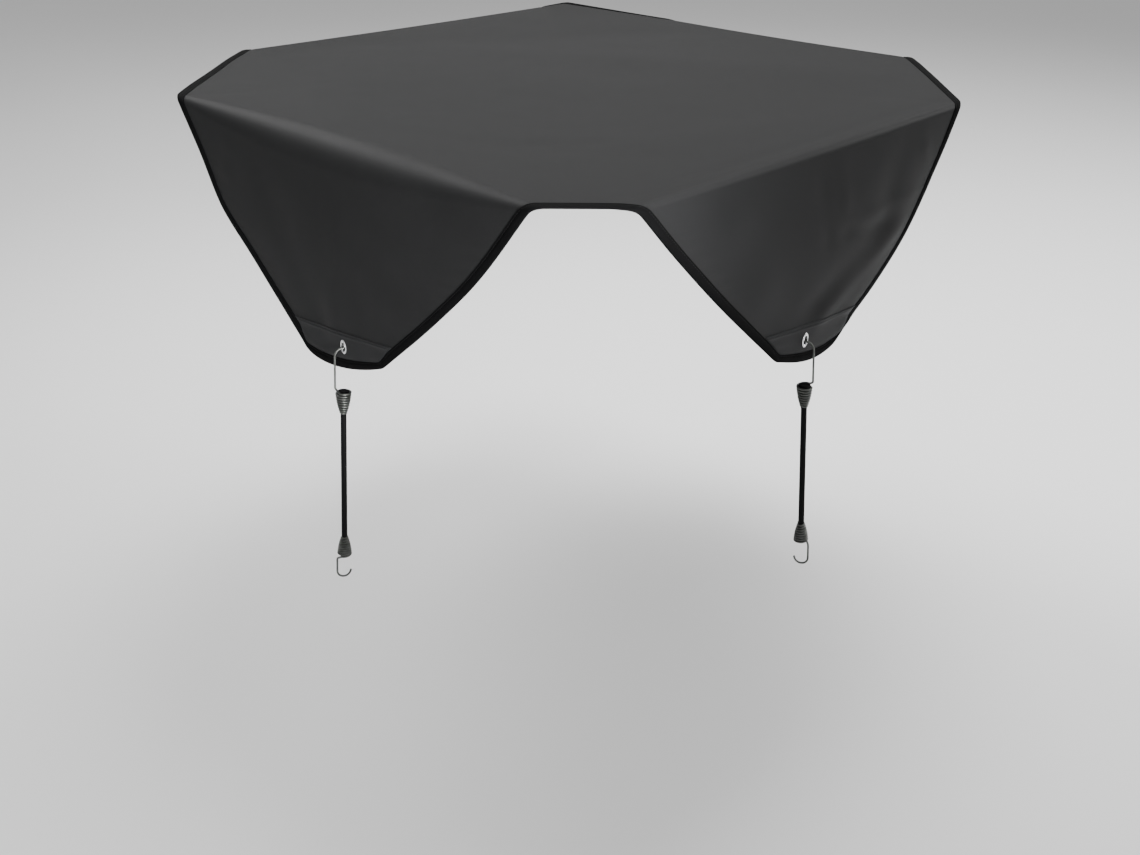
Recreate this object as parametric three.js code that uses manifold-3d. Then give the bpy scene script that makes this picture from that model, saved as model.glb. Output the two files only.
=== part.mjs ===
// A fitted weather cover: one sheet of coated cloth with an eight-sided top and four tapering flaps.
// A folded tape binds the whole edge, each flap's tip has a sewn patch with an eyelet, and an elastic
// cord with a wire hook at each end hangs from every eyelet.
//
// Millimetres, +Z up. The origin is at the middle of the top, on its underside.
// A side's own directions are along (from the start corner of its fold to the end corner),
// down (below the top) and out (away from the middle).

import * as THREE from 'three';
import { mergeVertices } from 'three/addons/utils/BufferGeometryUtils.js';
import Module from 'manifold-3d';

const wasm = await Module();
wasm.setup();

// Cloth, tape and patch.
const CLOTH_THICK = 1.6;
const TAPE_THICK = 0.9;
const PATCH_THICK = 0.8;
const GAP = 0.3;
const TAPE_GAP = 0.4;
const BINDING_WIDTH = 10;
const PATCH_INSET = 0.6;

// How a flap hangs from its fold.
const CORNER_RADIUS = 6;
const FLARE = 0.03;
const CURL_SHARE = 0.2;

// How finely the sheet is divided.
const ROLL_ANGLES = [0, 30, 60, 90];
const PANEL_STEPS = 8;
const TIP_STEPS = 2;
const COLUMNS = 11;
const CHAMFER_STEPS = 4;
const ARCH_PEAK = 0.83;
const ARCH_FADE = 6;
const RING_SCALES = [0.94, 0.8, 0.6, 0.35];
const TOP_WAVE = 2.5;

// Each flap: the two corners of its fold on the top (x, y), then how far each side edge has come in
// at each depth [down, in], the depth of the patch seam and of the hem at the two edges, how far the
// hem bows down between them, which way that bow leans, the fold's radius at mid-width, how far the
// flap swells out, how far its end edge curls back, the eyelet's place along the hem and how far the
// top's free edge after the flap arches up. Then the hooked cord in its eyelet: how it is twisted about
// the upright and swung outwards, in degrees, and the cord's length between its grips.
const FLAPS = [
  {
    name: 'south', start: [-237, -399.5], end: [338, -397],
    startEdge: [[0, 0], [55, 42], [113, 83], [155, 136], [230, 229]],
    endEdge: [[0, 0], [84, 68], [148, 133], [217, 211]],
    seam: [205, 187], hem: [230, 217], bow: 15.5, lean: 0.7,
    foldRadius: 34, swell: 5, curl: 1, eyelet: 0.545, arch: 1,
    twist: -26, swing: 3.3, cord: 149,
  },
  {
    name: 'east', start: [404, -338.5], end: [404, 211.5],
    startEdge: [[0, 0], [59, 55], [130, 127], [208, 213]],
    endEdge: [[0, 0], [45, 25], [90, 56], [136, 98], [176, 152], [211, 213]],
    seam: [173, 189], hem: [208, 211], bow: 15.3, lean: 1.2,
    foldRadius: 9, swell: 6, curl: 4, eyelet: 0.365, arch: 1,
    twist: 24, swing: 3.3, cord: 137,
  },
  {
    name: 'north', start: [230, 402], end: [-168, 398],
    startEdge: [[0, 0], [60, 36], [130, 80], [205, 131]],
    endEdge: [[0, 0], [60, 38], [130, 82], [212, 133]],
    seam: [178, 186], hem: [205, 212], bow: 15, lean: 0.9,
    foldRadius: 14, swell: 5, curl: 2, eyelet: 0.5, arch: 8.5,
    twist: -22, swing: 1, cord: 143,
  },
  {
    name: 'west', start: [-400.5, 350], end: [-416, -200],
    startEdge: [[0, 0], [60, 50], [130, 118], [212, 198]],
    endEdge: [[0, 0], [60, 46], [135, 118], [220, 204]],
    seam: [186, 195], hem: [212, 220], bow: 15, lean: 1,
    foldRadius: 12, swell: 5, curl: 2, eyelet: 0.48, arch: 1,
    twist: 22, swing: 1.5, cord: 146,
  },
];

// Eyelet: a rolled oval ring through cloth and patch. The profile is at its top and bottom.
const EYELET_SEAT = 14.4;
const BARREL_RADIUS = 6;
const BARREL_GAP = 0.45;
const EYELET_NARROW = 0.58;
const EYELET_REACH = 8;
const EYELET_SEGMENTS = 18;
const EYELET_PROFILE = [
  [5, -0.3], [5, 1.1], [5.35, 2], [5.9, 2.8], [6.7, 3.1], [7.8, 2.85], [8.4, 2.25], [BARREL_RADIUS, 2.25],
  [BARREL_RADIUS, -1.15], [7.8, -1.15], [7.5, -1.55], [6.4, -1.65], [5.6, -1.35],
];

// Hooked elastic cord. The hook's bend sits over the eyelet's lower rim.
const WIRE = 2.2;
const WIRE_SIDES = 8;
const UPPER_STEPS = 30;
const LOWER_STEPS = 20;
const BEND_RADIUS = 8.8;
const BEND_OUT = 1.5;
const BEND_TOP = 1.7;
const HOOK_TAIL = 5;
const UPPER_DROP = 50;
const GRIP_TURNS = 5;
const GRIP_RIDGE = 0.7;
const GRIP_SEGMENTS = 10;
const UPPER_GRIP = { length: 28, wide: 8.7, narrow: 4.1 };
const LOWER_GRIP = { length: 25, wide: 8.2, narrow: 4.1 };
const CORD_DIAMETER = 6.4;
const CORD_SIDES = 8;
const CORD_STEPS = 12;
const LOWER_SHANK = 20;
const LOWER_BEND = 7.8;
const LOWER_TIP = 1.5;
const CORD_OUT = BEND_OUT + BEND_RADIUS - UPPER_GRIP.wide;
const CORD_TOP = -UPPER_DROP - UPPER_GRIP.length - GAP;

const MATERIALS = {
  cloth: new THREE.MeshStandardMaterial({ color: 0x35363a, roughness: 0.72, metalness: 0 }),
  binding: new THREE.MeshStandardMaterial({ color: 0x141416, roughness: 0.8, metalness: 0 }),
  patch: new THREE.MeshStandardMaterial({ color: 0x303136, roughness: 0.68, metalness: 0 }),
  eyelet: new THREE.MeshStandardMaterial({ color: 0xc9cbce, roughness: 0.25, metalness: 1 }),
  wire: new THREE.MeshStandardMaterial({ color: 0x8b9094, roughness: 0.35, metalness: 1 }),
  cord: new THREE.MeshStandardMaterial({ color: 0x101012, roughness: 0.85, metalness: 0 }),
};

const radians = (degrees) => degrees * Math.PI / 180;
const mix = (a, b, share) => a + (b - a) * share;

// A smooth curve through a table of [x, y] rows, and its slope.
function smoothAt(rows, x) {
  let i = 0;
  while (i < rows.length - 2 && x > rows[i + 1][0]) {
    i += 1;
  }
  const slopeAt = (k) => {
    const before = rows[Math.max(k - 1, 0)];
    const after = rows[Math.min(k + 1, rows.length - 1)];
    return (after[1] - before[1]) / (after[0] - before[0]);
  };
  const [x0, y0] = rows[i];
  const [x1, y1] = rows[i + 1];
  const span = x1 - x0;
  const t = (x - x0) / span;
  const m0 = slopeAt(i) * span;
  const m1 = slopeAt(i + 1) * span;
  const a = 2 * y0 - 2 * y1 + m0 + m1;
  const b = -3 * y0 + 3 * y1 - 2 * m0 - m1;
  return { value: ((a * t + b) * t + m0) * t + y0, slope: ((3 * a * t + 2 * b) * t + m0) / span };
}

// A side of the top: its fold line and the slopes at which the chamfers leave its two corners.
function makeSide(flap, before, after) {
  const start = new THREE.Vector2(...flap.start);
  const end = new THREE.Vector2(...flap.end);
  const along = end.clone().sub(start).normalize();
  const out = new THREE.Vector2(along.y, -along.x);
  const slopeTo = (corner, other, sign) => {
    const step = new THREE.Vector2(...other).sub(corner);
    return sign * step.dot(along) / -step.dot(out);
  };
  return {
    flap, start, along, out,
    length: start.distanceTo(end),
    startSlope: slopeTo(start, before.end, -1),
    endSlope: slopeTo(end, after.start, 1),
  };
}

const SIDES = FLAPS.map((flap, i) => makeSide(flap, FLAPS[(i + 3) % 4], FLAPS[(i + 1) % 4]));

// A place on a side, given along, out and down, as a point in space.
function place(side, along, out, down) {
  const x = side.start.x + side.along.x * along + side.out.x * out;
  const y = side.start.y + side.along.y * along + side.out.y * out;
  return new THREE.Vector3(x, y, CLOTH_THICK / 2 - down);
}

function foldRadius(flap, share) {
  return mix(CORNER_RADIUS, flap.foldRadius, Math.sin(Math.PI * share));
}

function hemDown(flap, share) {
  const leaning = share ** flap.lean;
  return mix(flap.hem[0], flap.hem[1], share) + flap.bow * 4 * leaning * (1 - leaning);
}

// How far out the cloth hangs at a depth below the rounded fold.
function hangOut(flap, share, down) {
  const radius = foldRadius(flap, share);
  const depth = Math.max(down - radius, 0);
  const part = Math.min(depth / (hemDown(flap, share) - radius), 1);
  const swell = flap.swell * Math.sin(Math.PI * share) * Math.sin(Math.PI * part);
  const edge = Math.max((share - 1 + CURL_SHARE) / CURL_SHARE, 0);
  return FLARE * depth + swell - flap.curl * edge * edge * Math.min(part * 3, 1);
}

// The rows of a flap, from the top's edge over the rounded fold to the hem.
function flapRows() {
  const rows = ROLL_ANGLES.map((angle) => ({ kind: 'roll', angle: radians(angle) }));
  for (let i = 1; i <= PANEL_STEPS; i += 1) {
    rows.push({ kind: 'panel', share: i / PANEL_STEPS });
  }
  for (let i = 1; i <= TIP_STEPS; i += 1) {
    rows.push({ kind: 'tip', share: i / TIP_STEPS });
  }
  rows.push({ kind: 'hem' });
  return rows;
}

const ROWS = flapRows();
const SEAM_ROW = ROLL_ANGLES.length + PANEL_STEPS - 1;
const BAND_ROW = ROWS.length - 2;

function rowDown(flap, row, share) {
  const radius = foldRadius(flap, share);
  const seam = mix(flap.seam[0], flap.seam[1], share);
  const hem = hemDown(flap, share);
  if (row.kind === 'roll') {
    return radius * (1 - Math.cos(row.angle));
  }
  if (row.kind === 'panel') {
    return mix(radius, seam, row.share);
  }
  if (row.kind === 'tip') {
    return mix(seam, hem - BINDING_WIDTH, row.share);
  }
  return hem;
}

// Where a row starts and ends along its side, and how wide the binding is along the row.
function rowSpan(side, row) {
  const { flap } = side;
  const corner = row.kind === 'roll' ? -CORNER_RADIUS * (1 - Math.sin(row.angle)) : 0;
  const first = smoothAt(flap.startEdge, rowDown(flap, row, 0));
  const last = smoothAt(flap.endEdge, rowDown(flap, row, 1));
  return {
    start: first.value + corner * side.startSlope,
    end: side.length - last.value - corner * side.endSlope,
    startBand: BINDING_WIDTH * Math.hypot(1, first.slope),
    endBand: BINDING_WIDTH * Math.hypot(1, last.slope),
  };
}

// The positions along a row: its two edges, the binding's inner lines and even steps between them.
function rowPlaces(span) {
  const inner = [span.start + span.startBand, span.end - span.endBand];
  const places = [span.start];
  for (let i = 0; i <= COLUMNS - 2; i += 1) {
    places.push(mix(inner[0], inner[1], i / (COLUMNS - 2)));
  }
  places.push(span.end);
  return places;
}

function flapPoint(side, row, share, along) {
  const { flap } = side;
  const down = rowDown(flap, row, share);
  if (row.kind === 'roll') {
    return place(side, along, -foldRadius(flap, share) * (1 - Math.sin(row.angle)), down);
  }
  return place(side, along, hangOut(flap, share, down), down);
}

// The grid of points of one flap. Inside the hem row the points stand under those of the row above.
function flapGrid(side) {
  return ROWS.map((row) => {
    const span = rowSpan(side, row);
    const places = rowPlaces(row.kind === 'hem' ? rowSpan(side, ROWS[BAND_ROW]) : span);
    places[0] = span.start;
    places[COLUMNS] = span.end;
    return places.map((along) => {
      const share = THREE.MathUtils.clamp((along - span.start) / (span.end - span.start), 0, 1);
      return flapPoint(side, row, share, along);
    });
  });
}

// The sheet's middle surface: shared points and quads. Each point keeps its own index.
class Surface {
  constructor() {
    this.points = [];
    this.faces = [];
  }

  add(point) {
    this.points.push(point);
    return this.points.length - 1;
  }

  quad(a, b, c, d) {
    this.faces.push([a, b, c], [a, c, d]);
  }

  normals() {
    const sums = this.points.map(() => new THREE.Vector3());
    for (const [a, b, c] of this.faces) {
      const [p, q, r] = [this.points[a], this.points[b], this.points[c]];
      const normal = q.clone().sub(p).cross(r.clone().sub(p));
      [a, b, c].forEach((i) => sums[i].add(normal));
    }
    return sums.map((sum) => sum.normalize());
  }
}

// Soft unevenness of the flat top, fading out towards its edge.
function topWave(x, y, scale) {
  const ripple = Math.sin(x / 95 + 0.6) * Math.sin(y / 120) + 0.5 * Math.sin((x + y) / 70);
  return TOP_WAVE * ripple * (1 - scale ** 4) * Math.min(Math.hypot(x, y) / 120, 1);
}

// Builds the whole sheet: four flap grids, the chamfer bands between them and the rings of the top.
// It also lists the edge all the way round, as pairs of an edge point and the point a tape inside it.
function buildSurface() {
  const surface = new Surface();
  const grids = SIDES.map((side) => flapGrid(side).map((row) => row.map((p) => surface.add(p))));
  const rim = [];
  const loop = [];
  grids.forEach((grid, k) => {
    const last = grid.length - 1;
    for (let j = 0; j < last; j += 1) {
      for (let i = 0; i < COLUMNS; i += 1) {
        const corners = [grid[j][i], grid[j + 1][i], grid[j + 1][i + 1], grid[j][i + 1]];
        if (j === BAND_ROW && i < COLUMNS - 1) {
          corners.push(corners.shift());
        }
        surface.quad(...corners);
      }
    }
    for (let j = 0; j < last; j += 1) {
      rim.push([grid[j][0], grid[j][1]]);
    }
    rim.push([grid[last][0], grid[BAND_ROW][1]]);
    for (let i = 1; i < COLUMNS; i += 1) {
      rim.push([grid[last][i], grid[BAND_ROW][i]]);
    }
    rim.push([grid[last][COLUMNS], grid[BAND_ROW][COLUMNS - 1]]);
    for (let j = last - 1; j >= 0; j -= 1) {
      rim.push([grid[j][COLUMNS], grid[j][COLUMNS - 1]]);
    }
    loop.push(...grid[0].slice(1, COLUMNS));
    const next = grids[(k + 1) % 4];
    let outer = grid[0][COLUMNS];
    let inner = grid[0][COLUMNS - 1];
    for (let s = 1; s <= CHAMFER_STEPS; s += 1) {
      const share = s / CHAMFER_STEPS;
      const ends = [[grid[0][COLUMNS], next[0][0]], [grid[0][COLUMNS - 1], next[0][1]]];
      const rise = Math.min(share / ARCH_PEAK, (1 - share) / (1 - ARCH_PEAK));
      const lift = new THREE.Vector3(0, 0, SIDES[k].flap.arch * rise);
      const between = ends.map(([a, b]) => surface.points[a].clone()
        .lerp(surface.points[b], share).add(lift));
      const isEnd = s === CHAMFER_STEPS;
      const nextOuter = isEnd ? next[0][0] : surface.add(between[0]);
      const nextInner = isEnd ? next[0][1] : surface.add(between[1]);
      surface.quad(outer, nextOuter, nextInner, inner);
      if (!isEnd) {
        rim.push([nextOuter, nextInner]);
        loop.push(nextInner);
      }
      outer = nextOuter;
      inner = nextInner;
    }
  });
  let ring = loop;
  for (const scale of RING_SCALES) {
    const smaller = loop.map((index) => {
      const { x, y, z } = surface.points[index];
      const level = mix(CLOTH_THICK / 2, z, scale ** ARCH_FADE);
      const wave = topWave(x * scale, y * scale, scale);
      return surface.add(new THREE.Vector3(x * scale, y * scale, level + wave));
    });
    ring.forEach((a, i) => {
      const n = (i + 1) % ring.length;
      surface.quad(a, ring[n], smaller[n], smaller[i]);
    });
    ring = smaller;
  }
  const middle = surface.add(new THREE.Vector3(0, 0, CLOTH_THICK / 2));
  ring.forEach((a, i) => surface.faces.push([a, ring[(i + 1) % ring.length], middle]));
  return { surface, rim, grids };
}

// A closed body from points and triangles, with equal points joined and flat triangles dropped.
function closedGeometry(points, triangles) {
  const raw = new THREE.BufferGeometry();
  const flat = points.flatMap((p) => [p.x, p.y, p.z]);
  raw.setAttribute('position', new THREE.Float32BufferAttribute(flat, 3));
  raw.setIndex(triangles.flat());
  return tidyGeometry(raw);
}

// Joins equal points, drops flat triangles and turns the faces outwards.
function tidyGeometry(raw) {
  const geometry = raw.clone();
  geometry.deleteAttribute('normal');
  geometry.deleteAttribute('uv');
  const merged = mergeVertices(geometry, 1e-4);
  const index = merged.index.array;
  const kept = [];
  let volume = 0;
  for (let i = 0; i < index.length; i += 3) {
    const [a, b, c] = [index[i], index[i + 1], index[i + 2]];
    if (a !== b && b !== c && c !== a) {
      kept.push(a, b, c);
      const [p, q, r] = [a, b, c].map((k) => new THREE.Vector3()
        .fromBufferAttribute(merged.attributes.position, k));
      volume += p.dot(q.cross(r));
    }
  }
  if (volume < 0) {
    for (let i = 0; i < kept.length; i += 3) {
      [kept[i], kept[i + 1]] = [kept[i + 1], kept[i]];
    }
  }
  merged.setIndex(kept);
  return merged;
}

function toSolid(geometry) {
  return new wasm.Manifold(new wasm.Mesh({
    numProp: 3,
    vertProperties: new Float32Array(geometry.attributes.position.array),
    triVerts: new Uint32Array(geometry.index.array),
  }));
}

function toGeometry(solid) {
  const mesh = solid.getMesh();
  const geometry = new THREE.BufferGeometry();
  geometry.setAttribute('position', new THREE.BufferAttribute(new Float32Array(mesh.vertProperties), 3));
  geometry.setIndex(new THREE.BufferAttribute(new Uint32Array(mesh.triVerts), 1));
  return geometry;
}

// A sheet of a given thickness between two offsets from a surface.
function sheetGeometry(points, normals, faces, rim, low, high) {
  const shifted = (offset) => points.map((p, i) => p.clone().addScaledVector(normals[i], offset));
  const count = points.length;
  const triangles = [];
  for (const [a, b, c] of faces) {
    triangles.push([a + count, b + count, c + count], [a, c, b]);
  }
  rim.forEach((a, i) => {
    const b = rim[(i + 1) % rim.length];
    triangles.push([a, b, b + count], [a, b + count, a + count]);
  });
  return closedGeometry([...shifted(low), ...shifted(high)], triangles);
}

// The folded tape: a U round the cloth's edge, carried along the whole edge and closed on itself.
function bindingGeometry(surface, normals, rim) {
  const inside = CLOTH_THICK / 2 + TAPE_GAP;
  const outside = inside + TAPE_THICK;
  const points = [];
  const triangles = [];
  rim.forEach(([edge, inner], i) => {
    const ahead = surface.points[rim[(i + 1) % rim.length][0]];
    const behind = surface.points[rim[(i + rim.length - 1) % rim.length][0]];
    const [at, to] = [surface.points[edge], surface.points[inner]];
    const [up, upInner] = [normals[edge], normals[inner]];
    const before = at.clone().sub(behind).cross(up).normalize();
    const after = ahead.clone().sub(at).cross(up).normalize();
    const beyond = before.clone().add(after).divideScalar(1 + before.dot(after));
    const corner = (base, normal, lift, reach) => base.clone().addScaledVector(normal, lift)
      .addScaledVector(beyond, reach);
    points.push(
      corner(to, upInner, inside, 0),
      corner(to, upInner, outside, 0),
      corner(at, up, outside, 0),
      corner(at, up, outside * 0.45, TAPE_GAP + TAPE_THICK),
      corner(at, up, -outside * 0.45, TAPE_GAP + TAPE_THICK),
      corner(at, up, -outside, 0),
      corner(to, upInner, -outside, 0),
      corner(to, upInner, -inside, 0),
      corner(at, up, -inside, TAPE_GAP),
      corner(at, up, inside, TAPE_GAP),
    );
  });
  const count = 10;
  rim.forEach((pair, i) => {
    const here = i * count;
    const next = ((i + 1) % rim.length) * count;
    for (let k = 0; k < count; k += 1) {
      const l = (k + 1) % count;
      if (k === 1 || k === 7) {
        triangles.push([here + k, next + k, here + l], [next + k, next + l, here + l]);
      } else {
        triangles.push([here + k, next + k, next + l], [here + k, next + l, here + l]);
      }
    }
  });
  return closedGeometry(points, triangles);
}

// The patch on a flap's tip, from its seam to just above the binding, inside the binding's two sides.
function patchGeometry(surface, normals, grid) {
  const rows = grid.slice(SEAM_ROW, BAND_ROW + 1).map((row) => row.slice(1, COLUMNS));
  const drawIn = (point, other) => point.clone().add(other.clone().sub(point).setLength(PATCH_INSET));
  const at = (j, i) => surface.points[rows[j][i]];
  const points = [];
  const lifts = [];
  const wide = rows[0].length;
  rows.forEach((row, j) => row.forEach((index, i) => {
    let point = at(j, i);
    if (i === 0 || i === wide - 1) {
      point = drawIn(point, at(j, i === 0 ? 1 : wide - 2));
    }
    if (j === rows.length - 1) {
      point = drawIn(point, at(j - 1, i));
    }
    points.push(point);
    lifts.push(normals[index]);
  }));
  const faces = [];
  for (let j = 0; j < rows.length - 1; j += 1) {
    for (let i = 0; i < wide - 1; i += 1) {
      const [a, b] = [j * wide + i, (j + 1) * wide + i];
      faces.push([a, b, b + 1], [a, b + 1, a + 1]);
    }
  }
  const rim = [];
  for (let j = 0; j < rows.length; j += 1) {
    rim.push(j * wide);
  }
  for (let i = 1; i < wide; i += 1) {
    rim.push((rows.length - 1) * wide + i);
  }
  for (let j = rows.length - 2; j >= 0; j -= 1) {
    rim.push(j * wide + wide - 1);
  }
  for (let i = wide - 2; i > 0; i -= 1) {
    rim.push(i);
  }
  const low = CLOTH_THICK / 2 + GAP;
  return sheetGeometry(points, lifts, faces, rim, low, low + PATCH_THICK);
}

// The eyelet's place on the middle surface of its flap and the way the cloth faces round it.
function eyeletSeat(side, skin) {
  const { flap } = side;
  const down = hemDown(flap, flap.eyelet) - BINDING_WIDTH - EYELET_SEAT;
  const span = rowSpan(side, { kind: 'hem' });
  const along = mix(span.start, span.end, flap.eyelet);
  const inward = new THREE.Vector3(-side.out.x, -side.out.y, 0);
  const at = (right, below) => {
    const caster = new THREE.Raycaster(place(side, along + right, 100, down + below), inward);
    return caster.intersectObject(skin)[0].point;
  };
  const fall = at(0, EYELET_REACH).sub(at(0, -EYELET_REACH));
  const across = at(EYELET_REACH, 0).sub(at(-EYELET_REACH, 0));
  return { centre: at(0, 0), facing: fall.cross(across).normalize() };
}

function eyeletGeometry() {
  const ring = [...EYELET_PROFILE, EYELET_PROFILE[0]].map(([r, h]) => new THREE.Vector2(r, h));
  const lathe = new THREE.LatheGeometry(ring, EYELET_SEGMENTS);
  lathe.scale(EYELET_NARROW, 1, 1);
  return tidyGeometry(lathe);
}

// Points an object's Y the way the cloth faces and keeps its X level.
function turnTo(object, facing) {
  const level = new THREE.Vector3(0, 0, 1).cross(facing).normalize();
  const upright = new THREE.Vector3().crossVectors(level, facing);
  object.quaternion.setFromRotationMatrix(new THREE.Matrix4().makeBasis(level, facing, upright));
}

// An oval pin used to cut the eyelet's hole.
function holeSolid(seat) {
  const radius = BARREL_RADIUS + BARREL_GAP;
  const pin = new THREE.Mesh(new THREE.CylinderGeometry(radius, radius, 12, EYELET_SEGMENTS));
  pin.scale.x = (BARREL_RADIUS * EYELET_NARROW + BARREL_GAP) / radius;
  pin.position.copy(seat.centre);
  turnTo(pin, seat.facing);
  pin.updateMatrix();
  return toSolid(tidyGeometry(pin.geometry.clone().applyMatrix4(pin.matrix)));
}

// A round bar along a line of points.
function barGeometry(points, diameter, sides, steps) {
  const section = new THREE.Shape();
  for (let i = 0; i < sides; i += 1) {
    const angle = 2 * Math.PI * i / sides;
    const [x, y] = [Math.cos(angle) * diameter / 2, Math.sin(angle) * diameter / 2];
    if (i === 0) {
      section.moveTo(x, y);
    } else {
      section.lineTo(x, y);
    }
  }
  const path = new THREE.CatmullRomCurve3(points, false, 'centripetal');
  return tidyGeometry(new THREE.ExtrudeGeometry(section, {
    extrudePath: path, steps, bevelEnabled: false, curveSegments: 1,
  }));
}

// Points on part of a circle in the plane of out and up.
function arcPoints(outCentre, upCentre, radius, from, to, count) {
  const points = [];
  for (let i = 0; i <= count; i += 1) {
    const angle = radians(mix(from, to, i / count));
    const out = outCentre + radius * Math.cos(angle);
    points.push(new THREE.Vector3(out, 0, upCentre + radius * Math.sin(angle)));
  }
  return points;
}

// The wound grip: a solid cone of revolution with one ridge for each turn of the wire.
function gripGeometry(grip, out, top, wideAtTop) {
  const profile = [new THREE.Vector2(0, 0)];
  for (let i = 0; i <= 2 * GRIP_TURNS; i += 1) {
    const share = i / (2 * GRIP_TURNS);
    const radius = mix(grip.wide, grip.narrow, share) - (i % 2 === 0 ? 0 : GRIP_RIDGE);
    profile.push(new THREE.Vector2(radius, share * grip.length));
  }
  profile.push(new THREE.Vector2(0, grip.length));
  const lathe = new THREE.LatheGeometry(profile, GRIP_SEGMENTS);
  lathe.rotateX(wideAtTop ? -Math.PI / 2 : Math.PI / 2);
  lathe.translate(out, 0, wideAtTop ? top : top - grip.length);
  return tidyGeometry(lathe);
}

function joined(...geometries) {
  return toGeometry(geometries.map(toSolid).reduce((sum, solid) => sum.add(solid)));
}

// Upper hook, with the eyelet's centre as its origin and X pointing out.
function upperHookGeometry() {
  const bendCentre = -BEND_TOP - BEND_RADIUS;
  const shankOut = BEND_OUT + BEND_RADIUS;
  const wire = [
    new THREE.Vector3(BEND_OUT - BEND_RADIUS, 0, bendCentre - HOOK_TAIL),
    ...arcPoints(BEND_OUT, bendCentre, BEND_RADIUS, 180, 0, 6),
    new THREE.Vector3(shankOut, 0, bendCentre - 12),
    new THREE.Vector3(shankOut, 0, -UPPER_DROP + 8),
    new THREE.Vector3(shankOut, 0, -UPPER_DROP),
    new THREE.Vector3(shankOut - 2, 0, -UPPER_DROP - 4),
  ];
  const grip = gripGeometry(UPPER_GRIP, CORD_OUT, -UPPER_DROP, true);
  return joined(barGeometry(wire, WIRE, WIRE_SIDES, UPPER_STEPS), grip);
}

function cordGeometry(length) {
  const points = [CORD_TOP, CORD_TOP - length].map((up) => new THREE.Vector3(CORD_OUT, 0, up));
  return barGeometry(points, CORD_DIAMETER, CORD_SIDES, CORD_STEPS);
}

// Lower hook: a grip that widens downwards, a short shank on its outer side and a J turned inwards.
function lowerHookGeometry(cordLength) {
  const top = CORD_TOP - cordLength - GAP;
  const base = top - LOWER_GRIP.length;
  const shankOut = CORD_OUT + LOWER_GRIP.wide;
  const bendUp = base - LOWER_SHANK;
  const wire = [
    new THREE.Vector3(shankOut - 1, 0, base + 4),
    new THREE.Vector3(shankOut, 0, base),
    new THREE.Vector3(shankOut, 0, base - LOWER_SHANK / 2),
    ...arcPoints(shankOut - LOWER_BEND, bendUp, LOWER_BEND, 0, -180, 6),
    new THREE.Vector3(shankOut - 2 * LOWER_BEND - 0.5, 0, bendUp + LOWER_TIP),
  ];
  const grip = gripGeometry(LOWER_GRIP, CORD_OUT, top, false);
  return joined(barGeometry(wire, WIRE, WIRE_SIDES, LOWER_STEPS), grip);
}

function namedMesh(name, geometry, material) {
  const mesh = new THREE.Mesh(geometry, material);
  mesh.name = name;
  return mesh;
}

function buildCover() {
  const cover = new THREE.Group();
  cover.name = 'fitted_cover';
  const { surface, rim, grids } = buildSurface();
  const normals = surface.normals();
  const skin = new THREE.Mesh(closedGeometry(surface.points, surface.faces));
  skin.material.side = THREE.DoubleSide;
  const seats = SIDES.map((side) => eyeletSeat(side, skin));
  const holes = seats.map(holeSolid);

  const edge = rim.map(([outer]) => outer);
  const half = CLOTH_THICK / 2;
  const whole = toSolid(sheetGeometry(surface.points, normals, surface.faces, edge, -half, half));
  const pierced = holes.reduce((sheet, hole) => sheet.subtract(hole), whole);
  cover.add(namedMesh('cover_cloth', toGeometry(pierced), MATERIALS.cloth));
  cover.add(namedMesh('edge_binding', bindingGeometry(surface, normals, rim), MATERIALS.binding));

  SIDES.forEach((side, k) => {
    const { name } = side.flap;
    const patch = toSolid(patchGeometry(surface, normals, grids[k])).subtract(holes[k]);
    cover.add(namedMesh(`patch_${name}`, toGeometry(patch), MATERIALS.patch));

    const eyelet = namedMesh(`eyelet_${name}`, eyeletGeometry(), MATERIALS.eyelet);
    eyelet.position.copy(seats[k].centre);
    turnTo(eyelet, seats[k].facing);
    cover.add(eyelet);

    const hanger = new THREE.Group();
    hanger.position.copy(seats[k].centre);
    const heading = Math.atan2(side.out.y, side.out.x) + radians(side.flap.twist);
    hanger.rotation.set(0, -radians(side.flap.swing), heading, 'ZYX');
    hanger.add(namedMesh(`upper_hook_${name}`, upperHookGeometry(), MATERIALS.wire));
    hanger.add(namedMesh(`elastic_cord_${name}`, cordGeometry(side.flap.cord), MATERIALS.cord));
    hanger.add(namedMesh(`lower_hook_${name}`, lowerHookGeometry(side.flap.cord), MATERIALS.wire));
    cover.add(hanger);
  });
  return cover;
}

export default buildCover();
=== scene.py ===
"""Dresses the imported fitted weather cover: cloth, tape, patches, eyelets and hooked cords.

All shapes are worked out in millimetres, in the row frame, and written to the meshes in metres.
A side's own directions are along (from the start corner of its fold to the end corner),
down (below the top) and out (away from the middle), as in the part's source.
"""

from __future__ import annotations

import logging
import math
from collections.abc import Callable, Sequence
from dataclasses import dataclass, field
from enum import Enum
from functools import partial

import bpy
import numpy as np
from mathutils import Matrix, Vector
from mathutils.bvhtree import BVHTree


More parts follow.
